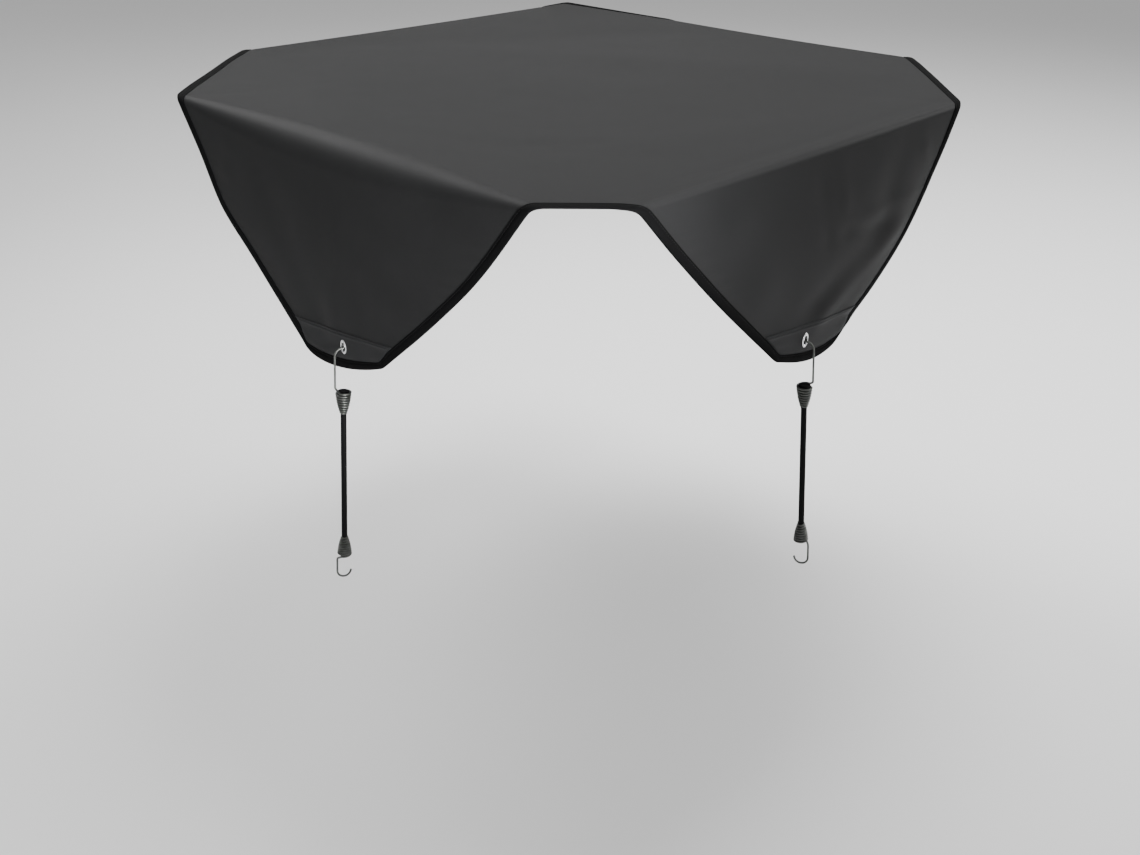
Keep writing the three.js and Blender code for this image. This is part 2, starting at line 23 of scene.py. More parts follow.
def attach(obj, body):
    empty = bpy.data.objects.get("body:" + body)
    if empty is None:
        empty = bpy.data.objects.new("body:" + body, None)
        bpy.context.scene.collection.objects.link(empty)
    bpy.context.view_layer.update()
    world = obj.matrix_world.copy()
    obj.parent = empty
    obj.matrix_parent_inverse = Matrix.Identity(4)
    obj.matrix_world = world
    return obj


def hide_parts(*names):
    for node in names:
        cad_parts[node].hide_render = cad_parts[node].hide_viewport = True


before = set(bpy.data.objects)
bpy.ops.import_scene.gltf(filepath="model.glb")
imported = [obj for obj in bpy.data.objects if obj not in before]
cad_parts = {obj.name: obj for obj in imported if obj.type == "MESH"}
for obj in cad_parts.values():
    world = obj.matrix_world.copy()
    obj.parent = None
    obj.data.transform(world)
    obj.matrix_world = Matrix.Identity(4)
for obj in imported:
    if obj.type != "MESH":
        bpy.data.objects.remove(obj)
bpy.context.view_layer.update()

LOG = logging.getLogger("fitted_cover")
MM = 0.001
BODY = "root"
TINY = 1e-9
ASIDE = (0.3, 1.0, 0.2)  # a direction that no bar of the cover starts in
Array = np.ndarray
Pair = tuple[float, float]
Triple = tuple[float, float, float]
Table = tuple[Pair, ...]
Face = tuple[int, ...]


class Slot(Enum):
    """The record's material slots."""

    CLOTH = "coated_cloth"
    TAPE = "binding_tape"
    PATCH = "patch_cloth"
    EYELET = "eyelet_metal"
    WIRE = "hook_wire"
    BRAID = "elastic_braid"


class Row(Enum):
    """The kinds of row that a flap's grid is made of, from the fold to the hem."""

    ROLL = "roll"
    PANEL = "panel"
    SEAM = "seam"
    TIP = "tip"
    HEM = "hem"


class End(Enum):
    """Which end of a hooked cord a hook is on."""

    UPPER = "upper"
    LOWER = "lower"


# A crease's height varies by this share along it, through this angle, and its ends fade out
# over this many times its width.
CREASE_SWELL = 0.25
CREASE_TURN = 7.0
CREASE_FADE = 1.6


@dataclass(frozen=True)
class Crease:
    """A soft ridge (height over 0) or trough along a line, in the surface's own two directions."""

    start: Pair
    end: Pair
    width: float
    height: float

    def lift(self, first: Array, second: Array) -> Array:
        """How far the crease lifts the surface.

        Args:
            first: Places in the surface's first direction.
            second: Places in its second direction.

        Returns:
            The lift at each place, in millimetres.
        """
        step = np.subtract(self.end, self.start)
        size = float(np.hypot(*step))
        ahead = ((first - self.start[0]) * step[0] + (second - self.start[1]) * step[1]) / size
        aside = ((first - self.start[0]) * step[1] - (second - self.start[1]) * step[0]) / size
        beyond = np.maximum(np.maximum(-ahead, ahead - size), 0.0)
        swell = 1 + CREASE_SWELL * (np.sin(ahead / size * CREASE_TURN + self.start[0]) - 1)
        away = (aside / self.width) ** 2 + (beyond / (CREASE_FADE * self.width)) ** 2
        return self.height * swell * np.exp(-away)


@dataclass(frozen=True)
class Flap:
    """One flap's cut and hang, with the same values as in the part's source.

    start and end are the two corners of its fold on the top. The edge tables give how far each
    side edge has come in at each depth, as (down, in) rows. seam and hem are depths at the two
    edges. twist and swing are in degrees, eyelet is a share of the hem, and lean is a power.
    """

    name: str
    start: Pair
    end: Pair
    start_edge: Table
    end_edge: Table
    seam: Pair
    hem: Pair
    bow: float
    lean: float
    fold_radius: float
    swell: float
    curl: float
    eyelet: float
    arch: float
    twist: float
    swing: float
    cord: float
    creases: tuple[Crease, ...] = ()


FLAPS = (
    Flap(
        name="south", start=(-237.0, -399.5), end=(338.0, -397.0),
        start_edge=((0, 0), (55, 42), (113, 83), (155, 136), (230, 229)),
        end_edge=((0, 0), (84, 68), (148, 133), (217, 211)),
        seam=(205, 187), hem=(230, 217), bow=15.5, lean=0.7, fold_radius=34, swell=5, curl=1,
        eyelet=0.545, arch=1, twist=-26, swing=3.3, cord=149,
        creases=(
            Crease((99, 43), (91, 85), 15, 1.0),
            Crease((156, 39), (262, 171), 26, -1.7),
            Crease((296, 88), (284, 173), 14, 1.0),
            Crease((337, 97), (334, 181), 17, -1.2),
            Crease((399, 88), (382, 159), 24, 1.4),
        ),
    ),
    Flap(
        name="east", start=(404.0, -338.5), end=(404.0, 211.5),
        start_edge=((0, 0), (59, 55), (130, 127), (208, 213)),
        end_edge=((0, 0), (45, 25), (90, 56), (136, 98), (176, 152), (211, 213)),
        seam=(173, 189), hem=(208, 211), bow=15.3, lean=1.2, fold_radius=9, swell=6, curl=4,
        eyelet=0.365, arch=1, twist=24, swing=3.3, cord=137,
        creases=(
            Crease((428, 114), (290, 172), 12, 1.9),
            Crease((398, 98), (262, 160), 15, -1.2),
            Crease((324, 92), (427, 109), 8, -1.2),
            Crease((370, 84), (452, 82), 9, 0.9),
            Crease((430, 18), (400, 86), 24, -2.0),
            Crease((474, 15), (480, 40), 8, 1.2),
            Crease((309, 8), (318, 62), 8, 0.7),
            Crease((270, 10), (285, 90), 9, -0.6),
            Crease((120, 25), (175, 120), 34, 2.4),
        ),
    ),
    Flap(
        name="north", start=(230.0, 402.0), end=(-168.0, 398.0),
        start_edge=((0, 0), (60, 36), (130, 80), (205, 131)),
        end_edge=((0, 0), (60, 38), (130, 82), (212, 133)),
        seam=(178, 186), hem=(205, 212), bow=15, lean=0.9, fold_radius=14, swell=5, curl=2,
        eyelet=0.5, arch=8.5, twist=-22, swing=1, cord=143,
        creases=(
            Crease((95, 30), (150, 150), 24, 2.0),
            Crease((180, 60), (190, 165), 20, -1.4),
            Crease((300, 40), (240, 160), 26, 1.8),
        ),
    ),
    Flap(
        name="west", start=(-400.5, 350.0), end=(-416.0, -200.0),
        start_edge=((0, 0), (60, 50), (130, 118), (212, 198)),
        end_edge=((0, 0), (60, 46), (135, 118), (220, 204)),
        seam=(186, 195), hem=(212, 220), bow=15, lean=1, fold_radius=12, swell=5, curl=2,
        eyelet=0.48, arch=1, twist=22, swing=1.5, cord=146,
        creases=(
            Crease((130, 35), (215, 170), 26, 2.2),
            Crease((400, 40), (330, 180), 28, 2.0),
            Crease((265, 50), (270, 160), 30, -1.5),
        ),
    ),
)

# The cloth's drape: the fold's radius at its two ends, how far a flap stands out for each
# millimetre it falls, the share of its width that curls in, and how soon the curl sets in.
CORNER_RADIUS = 6.0
FLARE = 0.03
CURL_SHARE = 0.2
CURL_RISE = 3.0

# The tape's width, the level of the cloth's middle surface, and half the cloth's thickness.
BAND = 10.0
MIDDLE = 0.8
CLOTH_HALF = 0.55

# How deep the patch's seam reaches, and the depths of the grid's rows across it.
SEAM_REACH = 7.0
SEAM_DEPTHS = (0.0, 0.5, 1.1, 1.8, 2.6, 3.4, 4.2, 5.0, 5.9, SEAM_REACH)

# The wave texture's own factor between its scale and the turns of its bands, and how many
# finer layers a noise texture has.
WAVE_TURNS = 20.0
PLAIN, FINE, FINER, FINEST = 2.0, 3.0, 4.0, 5.0


def mix(first: float | Array, last: float | Array, share: float | Array) -> float | Array:
    """The value a share of the way from first to last."""
    return first + (last - first) * share


def smooth_at(rows: Table, place: float) -> tuple[float, float]:
    """A smooth curve through a table of (x, y) rows.

    Args:
        rows: The table, with x rising.
        place: The x to read it at.

    Returns:
        The curve's value and its slope there.
    """
    i = 0
    while i < len(rows) - 2 and place > rows[i + 1][0]:
        i += 1

    def slope(k: int) -> float:
        """The curve's slope at one of the table's rows."""
        before, after = rows[max(k - 1, 0)], rows[min(k + 1, len(rows) - 1)]
        return (after[1] - before[1]) / (after[0] - before[0])

    (x0, y0), (x1, y1) = rows[i], rows[i + 1]
    span = x1 - x0
    t = (place - x0) / span
    m0, m1 = slope(i) * span, slope(i + 1) * span
    a, b = 2 * y0 - 2 * y1 + m0 + m1, -3 * y0 + 3 * y1 - 2 * m0 - m1
    return ((a * t + b) * t + m0) * t + y0, ((3 * a * t + 2 * b) * t + m0) / span


def unit(vectors: Array) -> Array:
    """The vectors, each made one long."""
    return vectors / np.maximum(np.linalg.norm(vectors, axis=-1, keepdims=True), TINY)


def circle(count: int) -> Array:
    """Angles evenly spaced round a circle."""
    return 2 * np.pi * np.arange(count) / count


def lengths_along(path: Array) -> Array:
    """How far along a line each of its points is."""
    return np.concatenate([[0.0], np.cumsum(np.linalg.norm(np.diff(path, axis=0), axis=1))])


def read_along(line: Array, runs: Array, places: float | Array) -> Array:
    """The line's values at some places along it, where runs says how far along its points are."""
    return np.stack([np.interp(places, runs, line[:, k]) for k in range(3)], -1)


def grid_faces(grid: Array) -> list[Face]:
    """Quads that join a grid of point numbers.

    Args:
        grid: The numbers, row by row.

    Returns:
        The quads, row by row.
    """
    return [
        (grid[j][i], grid[j + 1][i], grid[j + 1][i + 1], grid[j][i + 1])
        for j in range(len(grid) - 1) for i in range(len(grid[0]) - 1)
    ]


def both_sides(faces: Sequence[Face], edge: Sequence[int], count: int) -> list[Face]:
    """Closes a sheet that has a front and a back.

    Args:
        faces: The front's faces.
        edge: The numbers of the points on the front's edge, in order.
        count: How much higher each point of the back is numbered than its point on the front.

    Returns:
        The faces of the front and the back, and those between their edges.
    """
    backs = [tuple(n + count for n in reversed(face)) for face in faces]
    walls = [(b, a, a + count, b + count) for a, b in zip(edge, [*edge[1:], edge[0]])]
    return [*faces, *backs, *walls]


def linked(name: str, data: bpy.types.ID) -> bpy.types.Object:
    """Makes an object and links it to the scene.

    Args:
        name: The object's name.
        data: Its mesh, camera or lamp.

    Returns:
        The object.
    """
    made = bpy.data.objects.new(name, data)
    bpy.context.scene.collection.objects.link(made)
    return made


@dataclass
class Strip:
    """One row of a flap's grid: its kind and its place within that kind."""

    kind: Row
    at: float


@dataclass
class Side:
    """A flap with its place on the top, and the slopes of the chamfers that leave its corners."""

    flap: Flap
    before: Flap
    after: Flap
    start: Array = field(init=False)
    along: Array = field(init=False)
    out: Array = field(init=False)
    length: float = field(init=False)
    start_slope: float = field(init=False)
    end_slope: float = field(init=False)

    def __post_init__(self) -> None:
        """Works out the side's directions from its two corners."""
        self.start = np.array(self.flap.start)
        end = np.array(self.flap.end)
        self.length = float(np.linalg.norm(end - self.start))
        self.along = (end - self.start) / self.length
        self.out = np.array([self.along[1], -self.along[0]])
        first = np.array(self.before.end) - self.start
        last = np.array(self.after.start) - end
        self.start_slope = float(first @ self.along / (first @ self.out))
        self.end_slope = float(-(last @ self.along) / (last @ self.out))

    def place(self, along: Array, out: Array, down: Array) -> Array:
        """Points in space for places along, out from and below the side's fold.

        Args:
            along: Places along the side.
            out: Distances out from its fold.
            down: Depths below the top.

        Returns:
            The points.
        """
        along, out, down = np.broadcast_arrays(along, out, down)
        flat = self.start + along[..., None] * self.along + out[..., None] * self.out
        return np.concatenate([flat, MIDDLE - down[..., None]], axis=-1)

    def radius(self, share: Array) -> Array:
        """The fold's radius a share of the way along it."""
        return mix(CORNER_RADIUS, self.flap.fold_radius, np.sin(np.pi * share))

    def hem_down(self, share: Array) -> Array:
        """The hem's depth a share of the way along it."""
        leaning = share**self.flap.lean
        return mix(*self.flap.hem, share) + self.flap.bow * 4 * leaning * (1 - leaning)

    def hang_out(self, share: Array, down: Array) -> Array:
        """How far out the cloth hangs at a depth below the rounded fold.

        Args:
            share: The share of the way along the row.
            down: The depth.

        Returns:
            How far out it hangs, in millimetres.
        """
        radius = self.radius(share)
        depth = np.maximum(down - radius, 0)
        part = np.minimum(depth / (self.hem_down(share) - radius), 1)
        swell = self.flap.swell * np.sin(np.pi * share) * np.sin(np.pi * part)
        edge = np.maximum((share - 1 + CURL_SHARE) / CURL_SHARE, 0)
        return FLARE * depth + swell - self.flap.curl * edge**2 * np.minimum(part * CURL_RISE, 1)

    def row_down(self, row: Strip, share: Array) -> Array:
        """The depth of a row a share of the way along it.

        Args:
            row: The row.
            share: The share of the way along it.

        Returns:
            The depth.
        """
        radius, seam = self.radius(share), mix(*self.flap.seam, share)
        hem = self.hem_down(share)
        if row.kind is Row.ROLL:
            return radius * (1 - math.cos(row.at))
        if row.kind is Row.PANEL:
            return mix(radius, seam, row.at)
        if row.kind is Row.SEAM:
            return seam + row.at
        if row.kind is Row.TIP:
            return mix(seam + SEAM_REACH, hem - BAND, row.at)
        return hem - BAND * (1 - row.at)

    def span(self, row: Strip) -> tuple[float, float, float, float]:
        """Where a row starts and ends along the side, and how wide the binding is there.

        Args:
            row: The row.

        Returns:
            Its start and end, and the binding's width along it at each.
        """
        corner = -CORNER_RADIUS * (1 - math.sin(row.at)) if row.kind is Row.ROLL else 0.0
        first, first_slope = smooth_at(self.flap.start_edge, float(self.row_down(row, 0.0)))
        last, last_slope = smooth_at(self.flap.end_edge, float(self.row_down(row, 1.0)))
        return (
            first + corner * self.start_slope,
            self.length - last - corner * self.end_slope,
            BAND * math.hypot(1, first_slope),
            BAND * math.hypot(1, last_slope),
        )

    def heading(self) -> float:
        """The way the hooked cord faces, in radians about the upright."""
        return math.atan2(self.out[1], self.out[0]) + math.radians(self.flap.twist)


@dataclass
class Weave:
    """How finely the sheet is divided."""

    roll_steps: int = 12
    panel_steps: int = 40
    tip_steps: int = 8
    hem_steps: int = 4
    band_steps: int = 3
    inner_steps: int = 54
    chamfer_steps: int = 28
    rings: int = 44
    ring_power: float = 1.25

    def rows(self) -> list[Strip]:
        """The rows of a flap, from the top's edge over the rounded fold to the hem.

        Returns:
            The rows in order.
        """
        turn = math.pi / 2 / self.roll_steps
        rows = [Strip(Row.ROLL, turn * i) for i in range(self.roll_steps + 1)]
        rows += [Strip(Row.PANEL, i / self.panel_steps) for i in range(1, self.panel_steps)]
        rows += [Strip(Row.SEAM, depth) for depth in SEAM_DEPTHS]
        rows += [Strip(Row.TIP, i / self.tip_steps) for i in range(1, self.tip_steps + 1)]
        return rows + [Strip(Row.HEM, i / self.hem_steps) for i in range(1, self.hem_steps + 1)]

    @property
    def columns(self) -> int:
        """How many steps a row has."""
        return self.inner_steps + 2 * self.band_steps

    @property
    def ring_scales(self) -> list[float]:
        """The size of each ring that fills the top, as a share of the outermost."""
        return [1 - (i / self.rings) ** self.ring_power for i in range(1, self.rings)]


@dataclass
class CoverSurface:
    """The cloth's middle surface: shared points, quads, and the grids of the four flaps."""

    weave: Weave = field(default_factory=Weave)
    arch_peak: float = 0.83
    arch_fade: int = 6
    corner_round: float = 5.0
    wave_height: float = 2.5
    wave_spans: Triple = (95.0, 120.0, 70.0)
    wave_start: float = 0.6
    wave_middle: float = 120.0
    wave_edge: int = 4
    relief_fade: float = 40.0
    hem_press: float = 0.3
    crease_clear: float = 6.0
    crease_fade: float = 14.0
    pucker_height: float = 0.25
    pucker_rate: float = 1.4 / 15.0
    pucker_drift: float = 23.0
    pucker_decay: float = 0.14
    top_creases: tuple[Crease, ...] = (
        Crease((376, -320), (384, 190), 9, -1.1),
        Crease((-330, -250), (60, -320), 38, 1.6),
        Crease((60, -330), (330, -200), 30, -1.4),
        Crease((250, -300), (345, 120), 32, 1.2),
        Crease((-150, 60), (240, 250), 55, 1.8),
        Crease((-350, -60), (-120, 300), 48, -1.6),
        Crease((190, -250), (240, -205), 12, -0.8),
    )

    def __post_init__(self) -> None:
        """Builds the whole surface."""
        count = len(FLAPS)
        self.sides = [
            Side(flap, FLAPS[k - 1], FLAPS[(k + 1) % count]) for k, flap in enumerate(FLAPS)
        ]
        self.rows = self.weave.rows()
        self.band_row = len(self.rows) - 1 - self.weave.hem_steps
        self.seam_row = self.weave.roll_steps + self.weave.panel_steps
        self.points: list[Array] = []
        self.flat: list[Array] = []
        self.faces: list[Face] = []
        self.rim: list[tuple[int, int]] = []
        self.loop: list[int] = []
        self.chamfers: list[list[list[int]]] = []
        self.grids = [self._flap_grid(side) for side in self.sides]
        for k in range(count):
            self._join_flap(k)
        self._round_corners()
        self._spread_bands()
        self._fill_top()
        self.spots = np.array(self.points)
        self.uvs = np.array(self.flat)
        self.normals = self._normals(self.spots)
        self.spots = self.spots + self.normals * self._relief()[:, None]
        self.normals = self._normals(self.spots)

    def _add(self, point: Array, flat: Array) -> int:
        """Keeps a point.

        Args:
            point: The point.
            flat: Its place on the flat cloth.

        Returns:
            Its number.
        """
        self.points.append(point)
        self.flat.append(flat)
        return len(self.points) - 1

    def _row_places(self, side: Side, row: Strip) -> tuple[Array, Array]:
        """The places along a row.

        Args:
            side: The side.
            row: The row.

        Returns:
            The places and each one's share of the row.
        """
        band, inner = self.weave.band_steps, self.weave.inner_steps
        start, end, start_band, end_band = side.span(row)
        places = np.concatenate([
            np.linspace(start, start + start_band, band + 1)[:-1],
            np.linspace(start + start_band, end - end_band, inner + 1),
            np.linspace(end - end_band, end, band + 1)[1:],
        ])
        return places, np.clip((places - start) / (end - start), 0, 1)

    def _flap_grid(self, side: Side) -> Array:
        """Makes one flap's points.

        Args:
            side: The flap's side.

        Returns:
            The points' numbers, row by row.
        """
        grid = []
        band = self.weave.band_steps
        above, above_share = self._row_places(side, self.rows[self.band_row])
        for row in self.rows:
            places, share = self._row_places(side, row)
            if row.kind is Row.HEM:
                start, end, _, _ = side.span(Strip(Row.HEM, 1.0))
                hem = above.copy()
                hem[: band + 1] = np.linspace(start, above[band], band + 1)
                hem[-band - 1:] = np.linspace(above[-band - 1], end, band + 1)
                places = mix(above, hem, row.at)
                share = mix(above_share, np.clip((hem - start) / (end - start), 0, 1), row.at)
            down = side.row_down(row, share)
            radius = side.radius(share)
            out = side.hang_out(share, down)
            fallen = -radius + radius * np.pi / 2 + down - radius
            if row.kind is Row.ROLL:
                out = -radius * (1 - math.sin(row.at))
                fallen = -radius + radius * row.at
            flat = side.start + places[:, None] * side.along + fallen[:, None] * side.out
            grid.append([self._add(p, f) for p, f in zip(side.place(places, out, down), flat)])
        return np.array(grid)

    def _join_flap(self, k: int) -> None:
        """Joins one flap's points with quads, and notes the edge and the top's loop beside it.

        Args:
            k: The flap's number.
        """
        grid, following = self.grids[k], self.grids[(k + 1) % len(self.grids)]
        last, inset, columns = len(grid) - 1, self.weave.band_steps, self.weave.columns
        self.faces += grid_faces(grid)
        band, right = self.band_row, columns - inset
        self.rim += [(grid[j][0], grid[min(j, band)][inset]) for j in range(last)]
        self.rim += [(grid[last][i], grid[band][min(max(i, inset), right)]) for i in range(columns)]
        self.rim += [(grid[j][columns], grid[min(j, band)][right]) for j in range(last, -1, -1)]
        self.loop += list(grid[0][inset: right + 1])
        ends = [(grid[0][columns - i], following[0][i]) for i in range(inset + 1)]
        self._join_chamfer(ends, self.sides[k].flap.arch)

    def _join_chamfer(self, ends: Sequence[tuple[int, int]], arch: float) -> None:
        """Fills the band of tape across the corner after a flap.

        Args:
            ends: The numbers of the points that it runs from and to, from the edge inwards.
            arch: How high it rises between them.
        """
        steps = self.weave.chamfer_steps
        lines = [[a] for a, _ in ends]
        for s in range(1, steps):
            share = s / steps
            lift = arch * min(share / self.arch_peak, (1 - share) / (1 - self.arch_peak))
            for line, (a, b) in zip(lines, ends):
                point = mix(self.points[a], self.points[b], share) + np.array([0, 0, lift])
                line.append(self._add(point, mix(self.flat[a], self.flat[b], share)))
        for line, (_, b) in zip(lines, ends):
            line.append(b)
        self.faces += grid_faces(np.array(lines).T)
        self.rim += [(lines[0][s], lines[-1][s]) for s in range(1, steps)]
        self.loop += lines[-1][1:-1]
        self.chamfers.append(lines)

    def _round_corners(self) -> None:
        """Rounds the corners of the edge and of the line a tape's width inside it."""
        for k in (0, 1):
            numbers = [self.rim[0][k]]
            for pair in self.rim[1:]:
                if pair[k] != numbers[-1]:
                    numbers.append(pair[k])
            if numbers[0] == numbers[-1]:
                numbers.pop()
            spots = np.array([self.points[n] for n in numbers])
            for n, spot in zip(numbers, evened(spots, self.corner_round)):
                self.points[n] = spot

    def _spread_bands(self) -> None:
        """Puts the points between the edge and its inner line evenly between them."""
        inset, columns, band = self.weave.band_steps, self.weave.columns, self.band_row
        lines = []
        for grid in self.grids:
            lines += [row[: inset + 1] for row in grid[: band + 1]]
            lines += [row[columns - inset:][::-1] for row in grid[: band + 1]]
            lines += [grid[band:, i][::-1] for i in range(inset, columns - inset + 1)]
        for chamfer in self.chamfers:
            lines += [[line[s] for line in chamfer] for s in range(1, self.weave.chamfer_steps)]
        for line in lines:
            for i in range(1, len(line) - 1):
                share = i / (len(line) - 1)
                self.points[line[i]] = mix(self.points[line[0]], self.points[line[-1]], share)
        steps = self.weave.hem_steps
        for grid in self.grids:
            for right in (False, True):
                corner = (grid[:, ::-1] if right else grid)[band:, : inset + 1]
                inner = self.points[corner[0][inset]]
                for j in range(1, steps):
                    for i in range(1, inset):
                        low = mix(self.points[corner[steps][i]], inner, 1 - j / steps)
                        aside = mix(self.points[corner[j][0]], inner, i / inset)
                        self.points[corner[j][i]] = (low + aside) / 2

    def _fill_top(self) -> None:
        """Fills the top with rings of the inner loop, drawn in to the middle."""
        ring = self.loop
        for scale in self.weave.ring_scales:
            smaller = []
            for n in self.loop:
                x, y, z = self.points[n]
                flat = np.array([x * scale, y * scale])
                level = mix(MIDDLE, z, scale**self.arch_fade) + self._wave(*flat, scale)
                smaller.append(self._add(np.array([*flat, level]), flat))
            for i, a in enumerate(ring):
                n = (i + 1) % len(ring)
                self.faces.append((a, ring[n], smaller[n], smaller[i]))
            ring = smaller
        middle = self._add(np.array([0, 0, MIDDLE]), np.zeros(2))
        self.faces += [(a, ring[(i + 1) % len(ring)], middle) for i, a in enumerate(ring)]

    def _wave(self, x: float, y: float, scale: float) -> float:
        """The flat top's soft unevenness, fading out towards its edge.

        Args:
            x: The place's distance from the middle towards the east.
            y: Its distance towards the north.
            scale: The share of the way from the middle to the edge.

        Returns:
            The height above the plain top, in millimetres.
        """
        first, second, third = self.wave_spans
        ripple = math.sin(x / first + self.wave_start) * math.sin(y / second)
        ripple += 0.5 * math.sin((x + y) / third)
        near = min(math.hypot(x, y) / self.wave_middle, 1)
        return self.wave_height * ripple * (1 - scale**self.wave_edge) * near

    def _relief(self) -> Array:
        """How far each point stands off the plain surface, for the creases and the pucker.

        Returns:
            The lift at each point, in millimetres.
        """
        lift = np.zeros(len(self.points))
        inside = np.full(len(self.points), np.inf)
        on_top = np.ones(len(self.points), bool)
        for side, grid in zip(self.sides, self.grids):
            on_top[grid[1:].ravel()] = False
            inside = np.minimum(inside, -(self.uvs - side.start) @ side.out)
            for row in grid[1: self.band_row + 1]:
                run = self.uvs[row] - side.start
                along, down = run @ side.along, run @ side.out
                for crease in side.flap.creases:
                    lift[row] += crease.lift(along, down) * np.clip(down / self.relief_fade, 0, 1)
                lift[row] += self._pucker(along, down)
            for j, row in enumerate(grid[self.band_row + 1:], 1):
                pressed = 1 - self.hem_press * j / self.weave.hem_steps
                lift[row] = lift[grid[self.band_row]] * pressed
        clear = np.clip((inside - self.crease_clear) / self.crease_fade, 0, 1)
        for crease in self.top_creases:
            part = crease.lift(*self.uvs.T) * clear
            lift[on_top] += part[on_top]
        return lift

    def _pucker(self, along: Array, down: Array) -> Array:
        """The small pucker beside the tape, for one row of a flap.

        Args:
            along: The row's places along its side.
            down: Their depths.

        Returns:
            The lift at each place, in millimetres.
        """
        lift = np.zeros(len(along))
        columns, inset = self.weave.columns, self.weave.band_steps
        for edge, sign in ((inset, 1), (columns - inset, -1)):
            gap = np.maximum(sign * (along - along[edge]), 0) * self.pucker_decay
            deep = down[edge]
            phase = deep * self.pucker_rate + math.sin(deep / self.pucker_drift)
            size = math.sin(2 * math.pi * phase) * min(max(deep / self.relief_fade, 0), 1)
            lift += gap * np.exp(1 - gap) * size
        return self.pucker_height * lift

    def _normals(self, spots: Array) -> Array:
        """The surface's direction at each point.

        Args:
            spots: Where the points are.

        Returns:
            The directions, each one long.
        """
        sums = np.zeros_like(spots)
        quads = np.array([face if len(face) == 4 else (*face, face[2]) for face in self.faces])
        a, b, c, d = (spots[quads[:, k]] for k in range(4))
        across = np.cross(c - a, d - b)
        for k in range(4):
            np.add.at(sums, quads[:, k], across)
        return unit(sums)

    def skin(self, k: int) -> BVHTree:
        """One flap's surface, ready for rays.

        Args:
            k: The flap's number.

        Returns:
            The surface.
        """
        grid = self.grids[k]
        local = np.arange(grid.size).reshape(grid.shape)
        faces = [tuple(map(int, face)) for face in grid_faces(local)]
        return BVHTree.FromPolygons([Vector(spot) for spot in self.spots[grid.ravel()]], faces)


def evened(spots: Array, reach: float) -> Array:
    """Smooths a closed line of points with a bell of the given reach, in millimetres.

    Args:
        spots: The line's points.
        reach: How far along the line the smoothing spreads.

    Returns:
        The smoothed points, as many as were given.
    """
    steps = np.linalg.norm(np.roll(spots, -1, axis=0) - spots, axis=1)
    total = steps.sum()
    runs = np.concatenate([[0.0], np.cumsum(steps)[:-1]])
    apart = np.abs(runs[:, None] - runs[None, :])
    apart = np.minimum(apart, total - apart)
    share = (steps + np.roll(steps, 1)) / 2
    weights = np.exp(-((apart / reach) ** 2)) * share[None, :]
    return weights @ spots / weights.sum(axis=1, keepdims=True)


def eased(path: Array, reach: float, step: float) -> Array:
    """Rounds the corners of an open line and spaces its points evenly.

    Args:
        path: The line's points.
        reach: How far along the line the rounding spreads, in millimetres.
        step: The space between the new points.

    Returns:
        The new points, with the line's two ends kept.
    """
    runs = lengths_along(path)
    places = np.linspace(0, runs[-1], max(int(runs[-1] / step), 4))
    even = read_along(path, runs, places)
    turned = np.concatenate([2 * even[0] - even[:0:-1], even, 2 * even[-1] - even[-2::-1]])
    span = places[1] - places[0]
    offsets = np.arange(len(turned)) - len(even) + 1
    near = np.arange(len(even))[:, None] - offsets[None, :]
    weights = np.exp(-((near * span / reach) ** 2))
    return weights @ turned / weights.sum(axis=1, keepdims=True)


@dataclass
class MeshMaker:
    """Collects points and faces in millimetres and makes an object of them."""

    points: list[Array] = field(default_factory=list)
    faces: list[Face] = field(default_factory=list)
    uvs: list[Array] = field(default_factory=list)
    finishes: list[int] = field(default_factory=list)
    count: int = 0

    def add(self, points: Array, faces: Sequence[Sequence[int]], uvs: Array | None = None,
            finish: int | Sequence[int] = 0) -> None:
        """Adds a patch of mesh.

        Args:
            points: Its points.
            faces: Its faces, numbered from its first point.
            uvs: Each point's place on the flat material, in millimetres.
            finish: Which of the object's finishes it has, or one for each face.
        """
        self.points.append(np.asarray(points, float))
        self.uvs.append(np.zeros((len(points), 2)) if uvs is None else np.asarray(uvs, float))
        self.faces += [tuple(int(n) + self.count for n in face) for face in faces]
        self.finishes += [finish] * len(faces) if isinstance(finish, int) else list(finish)
        self.count += len(points)

    def make(self, name: str, finishes: Sequence[bpy.types.Material]) -> bpy.types.Object:
        """Makes the object, smooth all over.

        Args:
            name: The object's name.
            finishes: Its materials, in the order that the faces count them.

        Returns:
            The new object, linked to the scene.
        """
        mesh = bpy.data.meshes.new(name)
        mesh.from_pydata((np.concatenate(self.points) * MM).tolist(), [], self.faces)
        layer = mesh.uv_layers.new(name="flat")
        corners = np.zeros(len(mesh.loops), np.int32)
        mesh.loops.foreach_get("vertex_index", corners)
        flat = (np.concatenate(self.uvs)[corners] * MM).astype(np.float32)
        layer.data.foreach_set("uv", flat.ravel())
        mesh.polygons.foreach_set("use_smooth", np.ones(len(mesh.polygons), bool))
        mesh.polygons.foreach_set("material_index", np.array(self.finishes, np.int32))
        for finish in finishes:
            mesh.materials.append(finish)
        mesh.update()
        return linked(name, mesh)


def ring_faces(rings: int, around: int, closed: bool = False) -> list[Face]:
    """Quads that join rings of points, each closed on itself.

    Args:
        rings: How many rings there are.
        around: How many points each has.
        closed: Whether the last ring joins the first.

    Returns:
        The quads.
    """
    faces = []
    for j in range(rings if closed else rings - 1):
        low, high = j * around, (j + 1) % rings * around
        for i in range(around):
            n = (i + 1) % around
            faces.append((low + i, low + n, high + n, high + i))
    return faces


def capped(rings: int, around: int) -> list[Face]:
    """Quads that join rings of points, and a face over each end.

    Args:
        rings: How many rings there are.
        around: How many points each has.

    Returns:
        The faces.
    """
    total = rings * around
    ends = [tuple(range(around - 1, -1, -1)), tuple(range(total - around, total))]
    return ring_faces(rings, around) + ends


